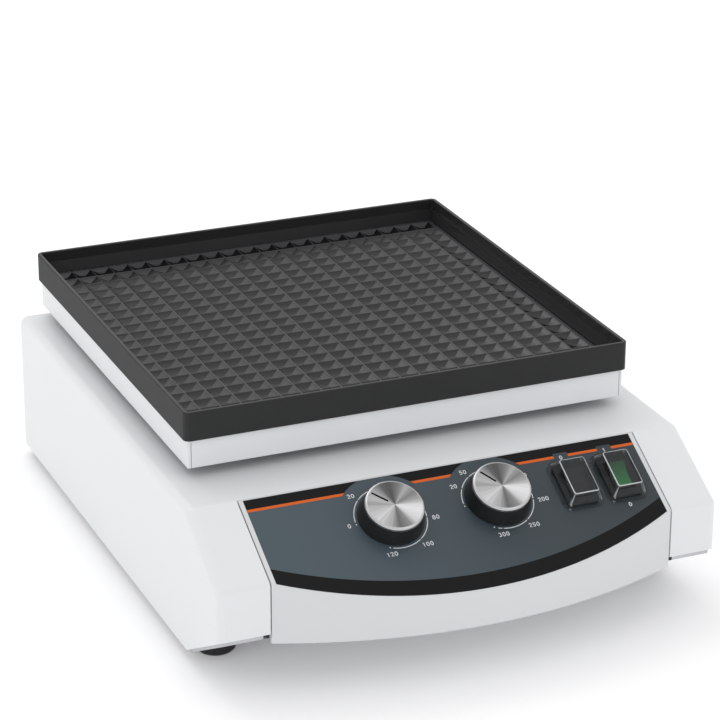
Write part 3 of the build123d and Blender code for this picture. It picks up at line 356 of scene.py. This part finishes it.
def pitted_rubber(name, colour, ridge_highlight_colour, top):
    """Rubber of the mat: smooth and dark in the pits, with a painted highlight of grey on the ridges.
    """
    finish = Finish(name)
    point = finish.place()
    height = finish.add("ShaderNodeSeparateXYZ", inputs={0: point}, output="Z") / MM
    speck = finish.grain(point, 0.8, 4.0)
    patch = finish.grain(point, 45.0, 3.0)
    # Painted highlight: the tops of the ridges are drawn in the lighter ridge colour.
    painted_ridge_highlight = finish.step(height, top - 0.32, top - 0.03) * (0.35 + 0.4 * patch)
    body = finish.blend(patch, shade(colour, 0.85), shade(colour, 1.15))
    return finish.close(
        base_color=finish.blend(painted_ridge_highlight, body, ridge_highlight_colour),
        roughness=0.17 + 0.1 * speck + 0.1 * painted_ridge_highlight,
        normal=finish.bump(speck, 0.008),
    )


def tray_plastic(name, colour, half):
    """Plastic of the tray: satin on the outside, glossy on the inner walls and the floor."""
    finish = Finish(name)
    point = finish.place()
    spark = finish.grain(point, 0.45, 3.0)
    haze = finish.grain(point, 18.0, 3.0)
    across, back = (finish.maths("ABSOLUTE", finish.along(point, direction, TRAY_CENTRE))
                    for direction in (ACROSS, (0.0, 1.0, 0.0)))
    outside = finish.step(finish.maths("MAXIMUM", across, back), half - 0.9, half - 0.3)
    return finish.close(
        base_color=finish.blend(haze, shade(colour, 0.85), shade(colour, 1.1)),
        roughness=0.2 + 0.06 * spark + 0.36 * outside,
        normal=finish.bump(spark, 0.008),
        specular_ior_level=0.25,
    )


def clear_moulding(name):
    """Clear plastic of the switch covers: faces seen through, and a painted highlight on the rounded
    edges.
    """
    finish = Finish(name)
    flow = finish.grain(finish.place(), 6.0, 2.0)
    facing = finish.add("ShaderNodeTexCoord", output="Normal")

    outward, across = (finish.maths("ABSOLUTE", finish.dot(facing, direction))
                       for direction in (SLOPE_OUT, ACROSS))
    # Painted highlight: the sloping walls and rounded edges, picked by how they face, get a light
    # colour and more cover.
    rim = (outward > 0.57) * (outward < 0.985)
    corner = (across > 0.5) * (across < 0.66) * (outward < 0.9) * 0.6
    edge = finish.maths("MAXIMUM", rim, corner)
    return finish.close(
        base_color=finish.blend(edge, linear(60, 62, 65), linear(238, 241, 244)),
        roughness=0.05 + 0.06 * flow,
        normal=finish.bump(flow, 0.03),
        alpha=0.15 + 0.5 * edge,
    )


def framed_lens(name, colour, centre):
    """Green lens of a rocker inside its black frame, with painted shade and highlight along it."""
    finish = Finish(name)
    point = finish.place()
    glow = finish.grain(point, 7.0, 2.0)
    across = finish.maths("ABSOLUTE", finish.along(point, ACROSS, centre))
    down = finish.along(point, SLOPE_DOWN, centre)
    half_width, top, bottom = 4.9, -7.6, 8.2
    inside = (across < half_width) * (down > top) * (down < bottom)
    # Painted shade and highlight: the lens runs from dark at its upper end to bright at its lower end.
    depth = finish.step(down + 3.0 * glow, -9.0, 9.0)
    lens = finish.blend(depth, shade(colour, 0.35), shade(colour, 1.15))
    return finish.close(
        base_color=finish.blend(inside, linear(16, 17, 17), lens),
        roughness=0.3 + 0.08 * glow,
        normal=finish.bump(glow, 0.01),
    )


def laminate(name, colour):
    """Circuit board lacquer with tracks that show through it."""
    finish = Finish(name)
    point = finish.place()
    tracks = finish.add("ShaderNodeTexBrick", {"offset": 0.5}, {
        "Vector": point, "Scale": 160.0, "Color1": (0, 0, 0, 1), "Color2": (0.15, 0.15, 0.15, 1),
        "Mortar": (1, 1, 1, 1), "Mortar Size": 0.06}, 1)
    resin = finish.grain(point, 3.0, 3.0)
    return finish.close(
        base_color=finish.blend(tracks, shade(colour, 0.8), shade(colour, 1.5)),
        roughness=0.3 + 0.12 * resin,
        normal=finish.bump(tracks, 0.03),
    )


def paint(material, *nodes):
    """Gives CAD nodes one material."""
    for name in nodes:
        mesh = frame["nodes"][name].data
        mesh.materials.clear()
        mesh.materials.append(material)


def piece(name, points, faces, material, body):
    """New mesh object of the shaker that rides on a body."""
    mesh = bpy.data.meshes.new(name)
    mesh.from_pydata([tuple(point) for point in points], [], faces)
    mesh.validate()
    mesh.update()
    mesh.materials.append(material)
    shape = bpy.data.objects.new(name, mesh)
    bpy.context.scene.collection.objects.link(shape)
    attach(shape, body)
    return shape


def on_panel(x, down, lift):
    """Point of the sloping panel from millimetres across, down the slope and out of it."""
    origin = Vector((0.0, TIMER_DIAL.y, TIMER_DIAL.z))
    rise = SLOPE_DOWN * (down - DIAL_DOWN) * MM + SLOPE_OUT * lift * MM
    return origin + Vector((x * MM, 0, 0)) + rise


class Artwork:
    """Flat printed shapes on the panel, gathered into one piece."""

    def __init__(self, lift):
        self.lift = lift
        self.points = []
        self.faces = []

    def polygon(self, outline):
        """Adds a filled outline of (across, down) points."""
        start = len(self.points)
        self.points += [on_panel(x, down, self.lift) for x, down in outline]
        self.faces.append(tuple(range(start, len(self.points)))[::-1])

    def stroke(self, path, width, closed=False):
        """Adds a line of even width with round ends."""
        count = len(path)
        sides = []
        for index, (x, y) in enumerate(path):
            before = path[(index - 1) % count] if closed or index else path[index]
            after = path[(index + 1) % count] if closed or index < count - 1 else path[index]
            angle = atan2(after[1] - before[1], after[0] - before[0]) + pi / 2
            dx, dy = cos(angle) * width / 2, sin(angle) * width / 2
            sides.append(((x + dx, y + dy), (x - dx, y - dy)))
        last = count if closed else count - 1
        for index in range(last):
            left, right = sides[index]
            next_left, next_right = sides[(index + 1) % count]
            self.polygon([left, next_left, next_right, right])
        if not closed:
            for x, y in (path[0], path[-1]):
                self.disc(x, y, width / 2)

    def disc(self, x, down, radius, corners=14):
        """Adds a filled circle."""
        turn = 2 * pi / corners
        self.polygon([(x + radius * cos(turn * index), down + radius * sin(turn * index))
                      for index in range(corners)])

    def band(self, xs, top, bottom):
        """Adds a strip between two edges that are functions of x."""
        for left, right in zip(xs, xs[1:]):
            middle = (left + right) / 2
            if bottom(middle) - top(middle) > 0.02:
                self.polygon([(left, top(middle if right - left < 0.01 else left)), (right, top(right)),
                              (right, bottom(right)), (left, bottom(left))])

    def build(self, name, material):
        """Makes the printed piece."""
        piece(name, self.points, self.faces, material, "root")


def bend(x, y, across, high, start, stop, count):
    """Points of an elliptic arc, in degrees, with y upward."""
    return [(x + across * cos(radians(start + (stop - start) * index / count)),
             y + high * sin(radians(start + (stop - start) * index / count)))
            for index in range(count + 1)]


# Strokes of the numerals on a grid one unit high, as (closed, points)
NUMERALS = {
    "0": [(True, bend(0.34, 0.5, 0.25, 0.43, 0, 345, 23))],
    "1": [(False, [(0.14, 0.74), (0.38, 0.93), (0.38, 0.07)])],
    "2": [(False, bend(0.33, 0.68, 0.24, 0.25, 160, -28, 12) + [(0.08, 0.07), (0.6, 0.07)])],
    "3": [(False, bend(0.3, 0.71, 0.23, 0.22, 140, -80, 12)
           + bend(0.3, 0.29, 0.27, 0.22, 80, -140, 12))],
    "4": [(False, [(0.6, 0.3), (0.06, 0.3), (0.44, 0.93), (0.44, 0.07)])],
    "5": [(False, [(0.55, 0.93), (0.16, 0.93), (0.12, 0.54)]
           + bend(0.3, 0.33, 0.27, 0.26, 118, -140, 14))],
    "6": [(True, bend(0.33, 0.32, 0.25, 0.25, 0, 345, 23)),
          (False, bend(0.62, 0.32, 0.54, 0.62, 180, 108, 8))],
    "8": [(True, bend(0.33, 0.71, 0.2, 0.21, 0, 345, 23)),
          (True, bend(0.33, 0.29, 0.26, 0.23, 0, 345, 23))],
}


def write_number(art, text, x, down, height):
    """Draws a number centred on a point of the panel."""
    advance = ADVANCE * height
    start = x - advance * len(text) / 2 + BEARING * height
    for index, figure in enumerate(text):
        for closed, path in NUMERALS[figure]:
            art.stroke([(start + advance * index + px * height, down + (0.5 - py) * height)
                        for px, py in path], STROKE * height, closed)


def around(dial_x, angle, radius):
    """Point beside a dial at an angle in degrees from the right, counter-clockwise."""
    return dial_x + radius * cos(radians(angle)), DIAL_DOWN - radius * sin(radians(angle))


class ShakerColours(bpy.types.PropertyGroup):
    """Colours of the shaker's visible pieces."""

    housing: FloatVectorProperty(name="Housing", description="Pale grey paint of the housing",
                                 subtype="COLOR", size=4, default=linear(228, 230, 232))
    console: FloatVectorProperty(name="Console", description="Moulded front console",
                                 subtype="COLOR", size=4, default=linear(213, 215, 217))
    film: FloatVectorProperty(name="Panel", description="Slate film of the control panel",
                              subtype="COLOR", size=4, default=linear(50, 62, 69))
    strip: FloatVectorProperty(name="Strips", description="Near-black strips of the panel",
                               subtype="COLOR", size=4, default=linear(7, 7, 9))
    line: FloatVectorProperty(name="Line", description="Orange line of the panel",
                              subtype="COLOR", size=4, default=linear(214, 98, 34))
    ink: FloatVectorProperty(name="Numerals", description="White ink of scales and numerals",
                             subtype="COLOR", size=4, default=linear(225, 228, 230))
    tray: FloatVectorProperty(name="Tray", description="Dark grey moulded tray",
                              subtype="COLOR", size=4, default=linear(42, 43, 43))
    mat: FloatVectorProperty(name="Mat", description="Rubber of the grip mat",
                             subtype="COLOR", size=4, default=linear(6, 7, 9))
    # The ridge colour is a painted highlight on the mat's ridges.
    ridge: FloatVectorProperty(name="Ridges", description="Polished ridges of the grip mat",
                               subtype="COLOR", size=4, default=linear(72, 73, 77))
    knob: FloatVectorProperty(name="Knobs", description="Black moulded knobs",
                              subtype="COLOR", size=4, default=linear(8, 10, 12))
    green: FloatVectorProperty(name="Power rocker", description="Green rocker of the power switch",
                               subtype="COLOR", size=4, default=linear(40, 120, 66))


class ShakerSizes(bpy.types.PropertyGroup):
    """Sizes of the printed scales and of the mat, in metres."""

    scale_radius: FloatProperty(name="Scale radius", description="Radius of the arc round a dial",
                                subtype="DISTANCE", unit="LENGTH", default=21.9 * MM)
    scale_weight: FloatProperty(name="Scale weight", description="Width of the arc round a dial",
                                subtype="DISTANCE", unit="LENGTH", default=0.55 * MM)
    numeral_height: FloatProperty(name="Numeral height", description="Height of the figures",
                                  subtype="DISTANCE", unit="LENGTH", default=3.0 * MM)
    strip_depth: FloatProperty(name="Top strip", description="Where the top strip ends, down the slope",
                               subtype="DISTANCE", unit="LENGTH", default=8.0 * MM)
    line_width: FloatProperty(name="Line width", description="Width of the orange line",
                              subtype="DISTANCE", unit="LENGTH", default=1.9 * MM)
    bottom_strip: FloatProperty(name="Bottom strip", description="Width of the strip along the bow",
                                subtype="DISTANCE", unit="LENGTH", default=10.7 * MM)
    halo_radius: FloatProperty(name="Halo", description="Bare disc round a dial across the strip",
                               subtype="DISTANCE", unit="LENGTH", default=31.0 * MM)
    pit_pitch: FloatProperty(name="Pit pitch", description="Distance between the mat's pits",
                             subtype="DISTANCE", unit="LENGTH", default=13.0 * MM)
    pit_depth: FloatProperty(name="Pit depth", description="Depth of the mat's pits",
                             subtype="DISTANCE", unit="LENGTH", default=2.3 * MM)


class StudioSettings(bpy.types.PropertyGroup):
    """Camera and lights."""

    azimuth: FloatProperty(name="Azimuth", description="Camera's turn round the shaker",
                           subtype="ANGLE", unit="ROTATION", default=radians(-23.1))
    elevation: FloatProperty(name="Elevation", description="Camera's height angle",
                             subtype="ANGLE", unit="ROTATION", default=radians(22.5))
    roll: FloatProperty(name="Roll", description="Camera's roll", subtype="ANGLE", unit="ROTATION",
                        default=radians(0.25))
    distance: FloatProperty(name="Distance", description="Camera to target", subtype="DISTANCE",
                            unit="LENGTH", default=1.80003)
    lens: FloatProperty(name="Lens", description="Focal length on a 36 mm sensor", unit="CAMERA",
                        default=144.883)
    target: FloatVectorProperty(name="Target", description="Point at the picture's centre",
                                subtype="XYZ", unit="LENGTH", size=3,
                                default=(-0.00468, -0.01593, 0.12643))
    sky: FloatProperty(name="Sky", description="Strength of the surrounding light",
                       subtype="FACTOR", default=0.9)
    floor: FloatVectorProperty(name="Floor", description="Colour of the pale floor", subtype="COLOR",
                               size=4, default=(0.93, 0.93, 0.935, 1.0))


class Dressing:
    """What the shaker's operators share."""

    bl_options = {"REGISTER", "UNDO"}

    def settings(self, context):
        scene = context.scene
        return scene.shaker_colours, scene.shaker_sizes, scene.shaker_studio


class SHAKER_OT_housing(Dressing, bpy.types.Operator):
    """Paints the cover, console, platform and the sheet below them"""

    bl_idname = "shaker.housing"
    bl_label = "Housing and Platform"

    def execute(self, context):
        colours, _, _ = self.settings(context)
        paint(powder_coat("housing_paint", tuple(colours.housing), 0.36),
              "housing_cover", "platform_pan")
        paint(powder_coat("console_moulding", tuple(colours.console), 0.38), "front_console")
        paint(rolled_sheet("zinc_sheet", (0.55, 0.56, 0.58), 0.32, (1.0, 0.06, 1.0)),
              "base_pan", "chassis_plate")
        paint(moulding("foot_rubber", linear(30, 30, 31), 0.62, 0.9, 0.03),
              "foot_front_left", "foot_front_right", "foot_back_left", "foot_back_right")
        return {"FINISHED"}


class SHAKER_OT_panel(Dressing, bpy.types.Operator):
    """Films the panel and prints its strips and its orange line"""

    bl_idname = "shaker.panel"
    bl_label = "Control Panel"

    def execute(self, context):
        colours, sizes, _ = self.settings(context)
        paint(panel_film("slate_film_painted_sheen", tuple(colours.film)), "control_panel")
        low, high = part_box("control_panel")
        half = high.x / MM - INK_MARGIN
        flat = SLOPE_OUT.z
        top_down = DIAL_DOWN + (TIMER_DIAL.y - high.y) / MM / flat + INK_MARGIN
        front_y = low.y / MM
        dials = (TIMER_DIAL.x / MM, SPEED_DIAL.x / MM)
        halo = sizes.halo_radius / MM
        strip, line = sizes.strip_depth / MM, sizes.line_width / MM
        tabs = [JOINTS[joint]["pos_m"][0] / MM - TAB_SHIFT
                for joint in ("timer_rocker_tilt", "power_rocker_tilt")]

        def clear(x):
            """How far down the slope the print may reach at x."""
            reach = strip + line
            for dial in dials:
                if abs(x - dial) < halo:
                    reach = min(reach, DIAL_DOWN - sqrt(halo**2 - (x - dial) ** 2))
            for tab in tabs:
                if abs(x - tab) < TAB_HALF_WIDTH:
                    reach = min(reach, strip - TAB_DROP)
            return reach

        edges = [tab + side * (TAB_HALF_WIDTH + shift) for tab in tabs
                 for side in (-1, 1) for shift in (-0.001, 0.001)]
        xs = sorted([-half + 2 * half * index / BAND_STEPS for index in range(BAND_STEPS + 1)] + edges)
        black = Artwork(STRIP_LIFT)
        black.band(xs, lambda x: top_down, lambda x: min(strip, clear(x)))

        bow = (CONSOLE_HALF_WIDTH**2 + BOW_RISE**2) / (2 * BOW_RISE)
        inner = bow - BOW_INSET
        centre_y = front_y + inner

        def bow_down(x):
            """Where the panel's bowed edge lies down the slope at x."""
            return DIAL_DOWN + (TIMER_DIAL.y / MM - centre_y + sqrt(inner**2 - x**2)) / flat

        width = sizes.bottom_strip / MM
        black.band(xs, lambda x: bow_down(x) - width, lambda x: bow_down(x) - INK_MARGIN)
        black.build("panel_strips", printed_ink("strip_ink", tuple(colours.strip), 0.55))
        orange = Artwork(LINE_LIFT)
        orange.band(xs, lambda x: strip, lambda x: min(strip + line, clear(x)))
        orange.build("panel_line", printed_ink("line_ink", tuple(colours.line), 0.42))
        return {"FINISHED"}


class SHAKER_OT_scales(Dressing, bpy.types.Operator):
    """Prints the arcs, marks and numerals round the dials and beside the switches"""

    bl_idname = "shaker.scales"
    bl_label = "Scales and Numerals"

    def execute(self, context):
        colours, sizes, _ = self.settings(context)
        radius, weight = sizes.scale_radius / MM, sizes.scale_weight / MM
        height = sizes.numeral_height / MM
        art = Artwork(MARK_LIFT)
        for dial, scale in ((TIMER_DIAL, TIMER_SCALE), (SPEED_DIAL, SPEED_SCALE)):
            self.scale(art, dial.x / MM, *scale, radius, weight, height)
        for joint, text, shift, down, mark_height in SWITCH_MARKS:
            write_number(art, text, JOINTS[joint]["pos_m"][0] / MM - shift, down, mark_height)
        art.build("scale_marks", printed_ink("white_ink", tuple(colours.ink), 0.5))
        return {"FINISHED"}

    def scale(self, art, dial_x, first, last, stop, marks, radius, weight, height):
        """Draws one dial's arc, which is open at each mark, its end dots and its numerals."""
        gaps = [angle for _, angle in marks if stop < angle < first - 2 * ARC_START]
        ends = [first - ARC_START] + gaps + [stop]
        for start, end in zip(ends, ends[1:]):
            begin = start - (MARK_GAP if start in gaps else 0.0)
            finish = end + (MARK_GAP if end in gaps else 0.0)
            count = max(2, ceil((begin - finish) / ARC_STEP))
            art.stroke([around(dial_x, begin + (finish - begin) * index / count, radius)
                        for index in range(count + 1)], weight)
        for angle in (first, last):
            art.disc(*around(dial_x, angle, radius), weight * 0.75)
        for text, angle in marks:
            hidden = HIDDEN_FROM < angle < HIDDEN_TO
            spread = 2.6 if hidden else 3.6 + 0.9 * len(text) * abs(cos(radians(angle)))
            write_number(art, text, *around(dial_x, angle, radius + spread), height)


class SHAKER_OT_dials(Dressing, bpy.types.Operator):
    """Finishes the two knobs, their spun caps and what clamps them"""

    bl_idname = "shaker.dials"
    bl_label = "Dials"

    def execute(self, context):
        colours, _, _ = self.settings(context)
        knob_black = moulding("knob_black", tuple(colours.knob), 0.42, 0.35, 0.008)
        paint(knob_black, "timer_knob", "speed_knob")
        bright = (0.82, 0.82, 0.83, 1.0)
        for dial, centre, angle in (("timer", TIMER_DIAL, TIMER_POINTER),
                                    ("speed", SPEED_DIAL, SPEED_POINTER)):
            paint(spun_disc(dial + "_spun_cap", bright, centre, angle), dial + "_knob_cap")
        paint(cast_metal("spindle_steel", (0.62, 0.62, 0.63), 0.3), "timer_spindle", "speed_spindle",
              "spindle_nuts")
        return {"FINISHED"}


class SHAKER_OT_switches(Dressing, bpy.types.Operator):
    """Finishes the rocker switches and their clear covers"""

    bl_idname = "shaker.switches"
    bl_label = "Switches and Covers"

    def execute(self, context):
        colours, _, _ = self.settings(context)
        paint(moulding("switch_black", linear(12, 13, 14), 0.45, 0.4, 0.01),
              "timer_switch", "power_switch")
        paint(moulding("rocker_black", linear(30, 31, 33), 0.4, 0.4, 0.01), "timer_rocker")
        pivot = Vector(JOINTS["power_rocker_tilt"]["pos_m"])
        paint(framed_lens("rocker_green", tuple(colours.green), pivot), "power_rocker")
        paint(clear_moulding("clear_cover_painted_highlight"), "timer_splash_cover", "power_splash_cover")
        return {"FINISHED"}


class SHAKER_OT_tray(Dressing, bpy.types.Operator):
    """Finishes the tray and models the mat with its rounded ridges"""

    bl_idname = "shaker.tray"
    bl_label = "Tray and Mat"

    def execute(self, context):
        colours, sizes, _ = self.settings(context)
        tray_low, tray_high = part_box("tray")
        half = (tray_high.x - tray_low.x) / MM / 2
        paint(tray_plastic("tray_moulding", tuple(colours.tray), half), "tray")
        low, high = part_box("grip_mat")
        top = high.z / MM
        rubber = pitted_rubber("mat_rubber", tuple(colours.mat), tuple(colours.ridge), top)
        points, faces = self.ribbed_mat(low, high, sizes)
        mat = piece("grip_mat_ribbed", points, faces, rubber, "platform")
        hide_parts("grip_mat")
        return {"FINISHED"}

    def ribbed_mat(self, low, high, sizes):
        """Points and faces of the mat: rings of each pit, then the border and the underside."""
        pitch, depth = sizes.pit_pitch / MM, sizes.pit_depth / MM
        count = round((high.x - low.x) / MM // pitch)
        top, half = high.z / MM, pitch / 2
        # Rings of a pit: share of its half width, and depth below the ridges
        levels = [(1.0, 0.0), (0.975, 0.05), (0.945, 0.2), (0.9, 0.42), (0.72, 0.98), (0.5, 1.55),
                  (0.27, 2.05), (0.08, depth)]
        points, faces, corner = [], [], {}

        def vertex(x, y, z):
            key = (round(x, 3), round(y, 3), round(z, 3))
            if key not in corner:
                corner[key] = len(points)
                points.append(Vector((TRAY_CENTRE.x + x * MM, TRAY_CENTRE.y + y * MM, z * MM)))
            return corner[key]

        field = count * half
        for column in range(count):
            for row in range(count):
                x, y = -field + pitch * (column + 0.5), -field + pitch * (row + 0.5)
                rings = [[vertex(x + dx * share * half, y + dy * share * half, top - drop)
                          for dx, dy in ((-1, -1), (1, -1), (1, 1), (-1, 1))] for share, drop in levels]
                for outer, inner in zip(rings, rings[1:]):
                    faces += [(outer[side], outer[(side + 1) % 4], inner[(side + 1) % 4], inner[side])
                              for side in range(4)]
                faces.append(tuple(rings[-1]))
        edge, chamfer = (high.x - low.x) / MM / 2, 0.3
        lattice = [-field + pitch * index for index in range(count + 1)]
        for side in range(4):
            turn = Matrix.Rotation(side * pi / 2, 2)
            rows = []
            for across, z in ((field, top), (edge - chamfer, top), (edge, top - chamfer),
                              (edge, low.z / MM)):
                stretch = across / field
                rows.append([vertex(*(turn @ Vector((across, place * stretch))), z)
                             for place in lattice])
            for inner, outer in zip(rows, rows[1:]):
                faces += [(inner[index], outer[index], outer[index + 1], inner[index + 1])
                          for index in range(count)]
        floor = [vertex(*(Matrix.Rotation(side * pi / 2, 2) @ Vector((edge, -edge))), low.z / MM)
                 for side in range(4)]
        faces.append(tuple(floor[::-1]))
        return points, faces


class SHAKER_OT_drive(Dressing, bpy.types.Operator):
    """Finishes the motor, cranks, columns, belt and board inside the housing"""

    bl_idname = "shaker.drive"
    bl_label = "Drive and Electrics"

    def execute(self, context):
        paint(cast_metal("machined_aluminium", (0.66, 0.67, 0.68), 0.3), "main_bearing_housing",
              "idler_column_left", "idler_column_right", "idler_column_front", "motor_mount",
              "drive_pulley", "motor_pulley", "platform_hub", "platform_bosses")
        paint(cast_metal("ground_steel", (0.58, 0.58, 0.6), 0.2), "lower_bearing", "upper_bearing",
              "idler_bearings", "hub_bearing", "drive_shaft", "crank_disc", "motor_shaft",
              "idler_crank_left", "idler_crank_right", "idler_crank_front")
        paint(cast_metal("zinc_screws", (0.62, 0.62, 0.6), 0.34), "column_screws", "motor_screws",
              "board_screws", "board_pillars", "inlet_screws", "foot_screws", "cover_screws",
              "platform_screws")
        paint(cast_metal("cast_iron", (0.06, 0.06, 0.063), 0.5, 0.6), "counterweight")
        paint(cast_metal("bronze", (0.62, 0.42, 0.2), 0.32), "idler_bushes")
        paint(moulding("motor_enamel", linear(34, 35, 37), 0.4, 1.2, 0.02), "motor")
        paint(moulding("belt_rubber", linear(28, 28, 29), 0.66, 0.6, 0.03), "drive_belt")
        paint(moulding("unit_black", linear(30, 30, 32), 0.5, 0.8, 0.02), "timer_unit", "speed_unit",
              "mains_inlet")
        paint(laminate("board_laminate", linear(20, 88, 52)), "control_board")
        return {"FINISHED"}


class SHAKER_OT_studio(Dressing, bpy.types.Operator):
    """Builds the pale floor, the soft lights and the camera"""

    bl_idname = "shaker.studio"
    bl_label = "Studio"

    def execute(self, context):
        _, _, studio = self.settings(context)
        scene = context.scene
        scene.view_settings.view_transform = "Standard"
        world = bpy.data.worlds.new("studio_light")
        world.use_nodes = True
        backdrop = world.node_tree.nodes["Background"]
        backdrop.inputs["Color"].default_value = (1.0, 1.0, 1.0, 1.0)
        backdrop.inputs["Strength"].default_value = studio.sky
        scene.world = world
        self.floor(studio)
        target = Vector(studio.target)
        # Name, place, width and power
        lights = [
            ("key", (-1.7, 0.25, 0.75), 1.2, 0.8),
            ("rim", (-0.3, 1.3, 1.9), 1.4, 9.0),
            ("fill", (0.9, -1.6, 1.5), 0.4, 1.5),
        ]
        for name, place, size, power in lights:
            lamp = bpy.data.lights.new(name, "AREA")
            lamp.size = size
            lamp.energy = power
            shape = bpy.data.objects.new(name, lamp)
            shape.location = Vector(place)
            shape.rotation_euler = (target - Vector(place)).to_track_quat("-Z", "Y").to_euler()
            scene.collection.objects.link(shape)
        self.camera(scene, studio, target)
        return {"FINISHED"}

    def floor(self, studio):
        """Pale floor under the feet."""
        finish = Finish("studio_floor")
        point = finish.place()
        cloud = finish.grain(point, 400.0, 2.0)
        colour = tuple(studio.floor)
        material = finish.close(base_color=finish.blend(cloud, shade(colour, 0.995), colour),
                                roughness=0.9 + 0.05 * cloud, specular_ior_level=0.1,
                                emission_color=(1.0, 1.0, 1.0, 1.0), emission_strength=0.14)
        mesh = bpy.data.meshes.new("studio_floor")
        far = 6.0
        corners = [(-far, -far, 0), (far, -far, 0), (far, far, 0), (-far, far, 0)]
        mesh.from_pydata(corners, [], [(0, 1, 2, 3)])
        mesh.materials.append(material)
        ground = bpy.data.objects.new("studio_floor", mesh)
        bpy.context.scene.collection.objects.link(ground)

    def camera(self, scene, studio, target):
        """Camera at the photograph's angle."""
        az, el, roll = studio.azimuth, studio.elevation, studio.roll
        back = Vector((sin(az) * cos(el), -cos(az) * cos(el), sin(el)))
        right = Vector((0, 0, 1)).cross(back).normalized()
        up = back.cross(right)
        turned = right * cos(roll) + up * sin(roll)
        up = back.cross(turned)
        lens = bpy.data.cameras.new("studio_camera")
        lens.sensor_width = 36.0
        lens.lens = studio.lens
        lens.clip_end = 50.0
        shape = bpy.data.objects.new("studio_camera", lens)
        place = target + back * studio.distance
        axes = Matrix((turned, up, back)).transposed().to_4x4()
        shape.matrix_world = Matrix.Translation(place) @ axes
        scene.collection.objects.link(shape)
        scene.camera = shape


class SHAKER_PT_dressing(bpy.types.Panel):
    """Lists the shaker's operators"""

    bl_label = "Orbital Shaker"
    bl_space_type = "VIEW_3D"
    bl_region_type = "UI"
    bl_category = "Shaker"

    def draw(self, context):
        for operator in OPERATORS:
            self.layout.operator(operator.bl_idname)


GROUPS = (ShakerColours, ShakerSizes, StudioSettings)
OPERATORS = (SHAKER_OT_housing, SHAKER_OT_panel, SHAKER_OT_scales, SHAKER_OT_dials,
             SHAKER_OT_switches, SHAKER_OT_tray, SHAKER_OT_drive, SHAKER_OT_studio)
CLASSES = GROUPS + OPERATORS + (SHAKER_PT_dressing,)


def register():
    for each in CLASSES:
        bpy.utils.register_class(each)
    bpy.types.Scene.shaker_colours = PointerProperty(type=ShakerColours)
    bpy.types.Scene.shaker_sizes = PointerProperty(type=ShakerSizes)
    bpy.types.Scene.shaker_studio = PointerProperty(type=StudioSettings)


def unregister():
    del bpy.types.Scene.shaker_studio
    del bpy.types.Scene.shaker_sizes
    del bpy.types.Scene.shaker_colours
    for each in reversed(CLASSES):
        bpy.utils.unregister_class(each)


def main():
    register()
    bpy.ops.shaker.housing()
    bpy.ops.shaker.panel()
    bpy.ops.shaker.scales()
    bpy.ops.shaker.dials()
    bpy.ops.shaker.switches()
    bpy.ops.shaker.tray()
    bpy.ops.shaker.drive()
    bpy.ops.shaker.studio()


if __name__ == "__main__":
    main()
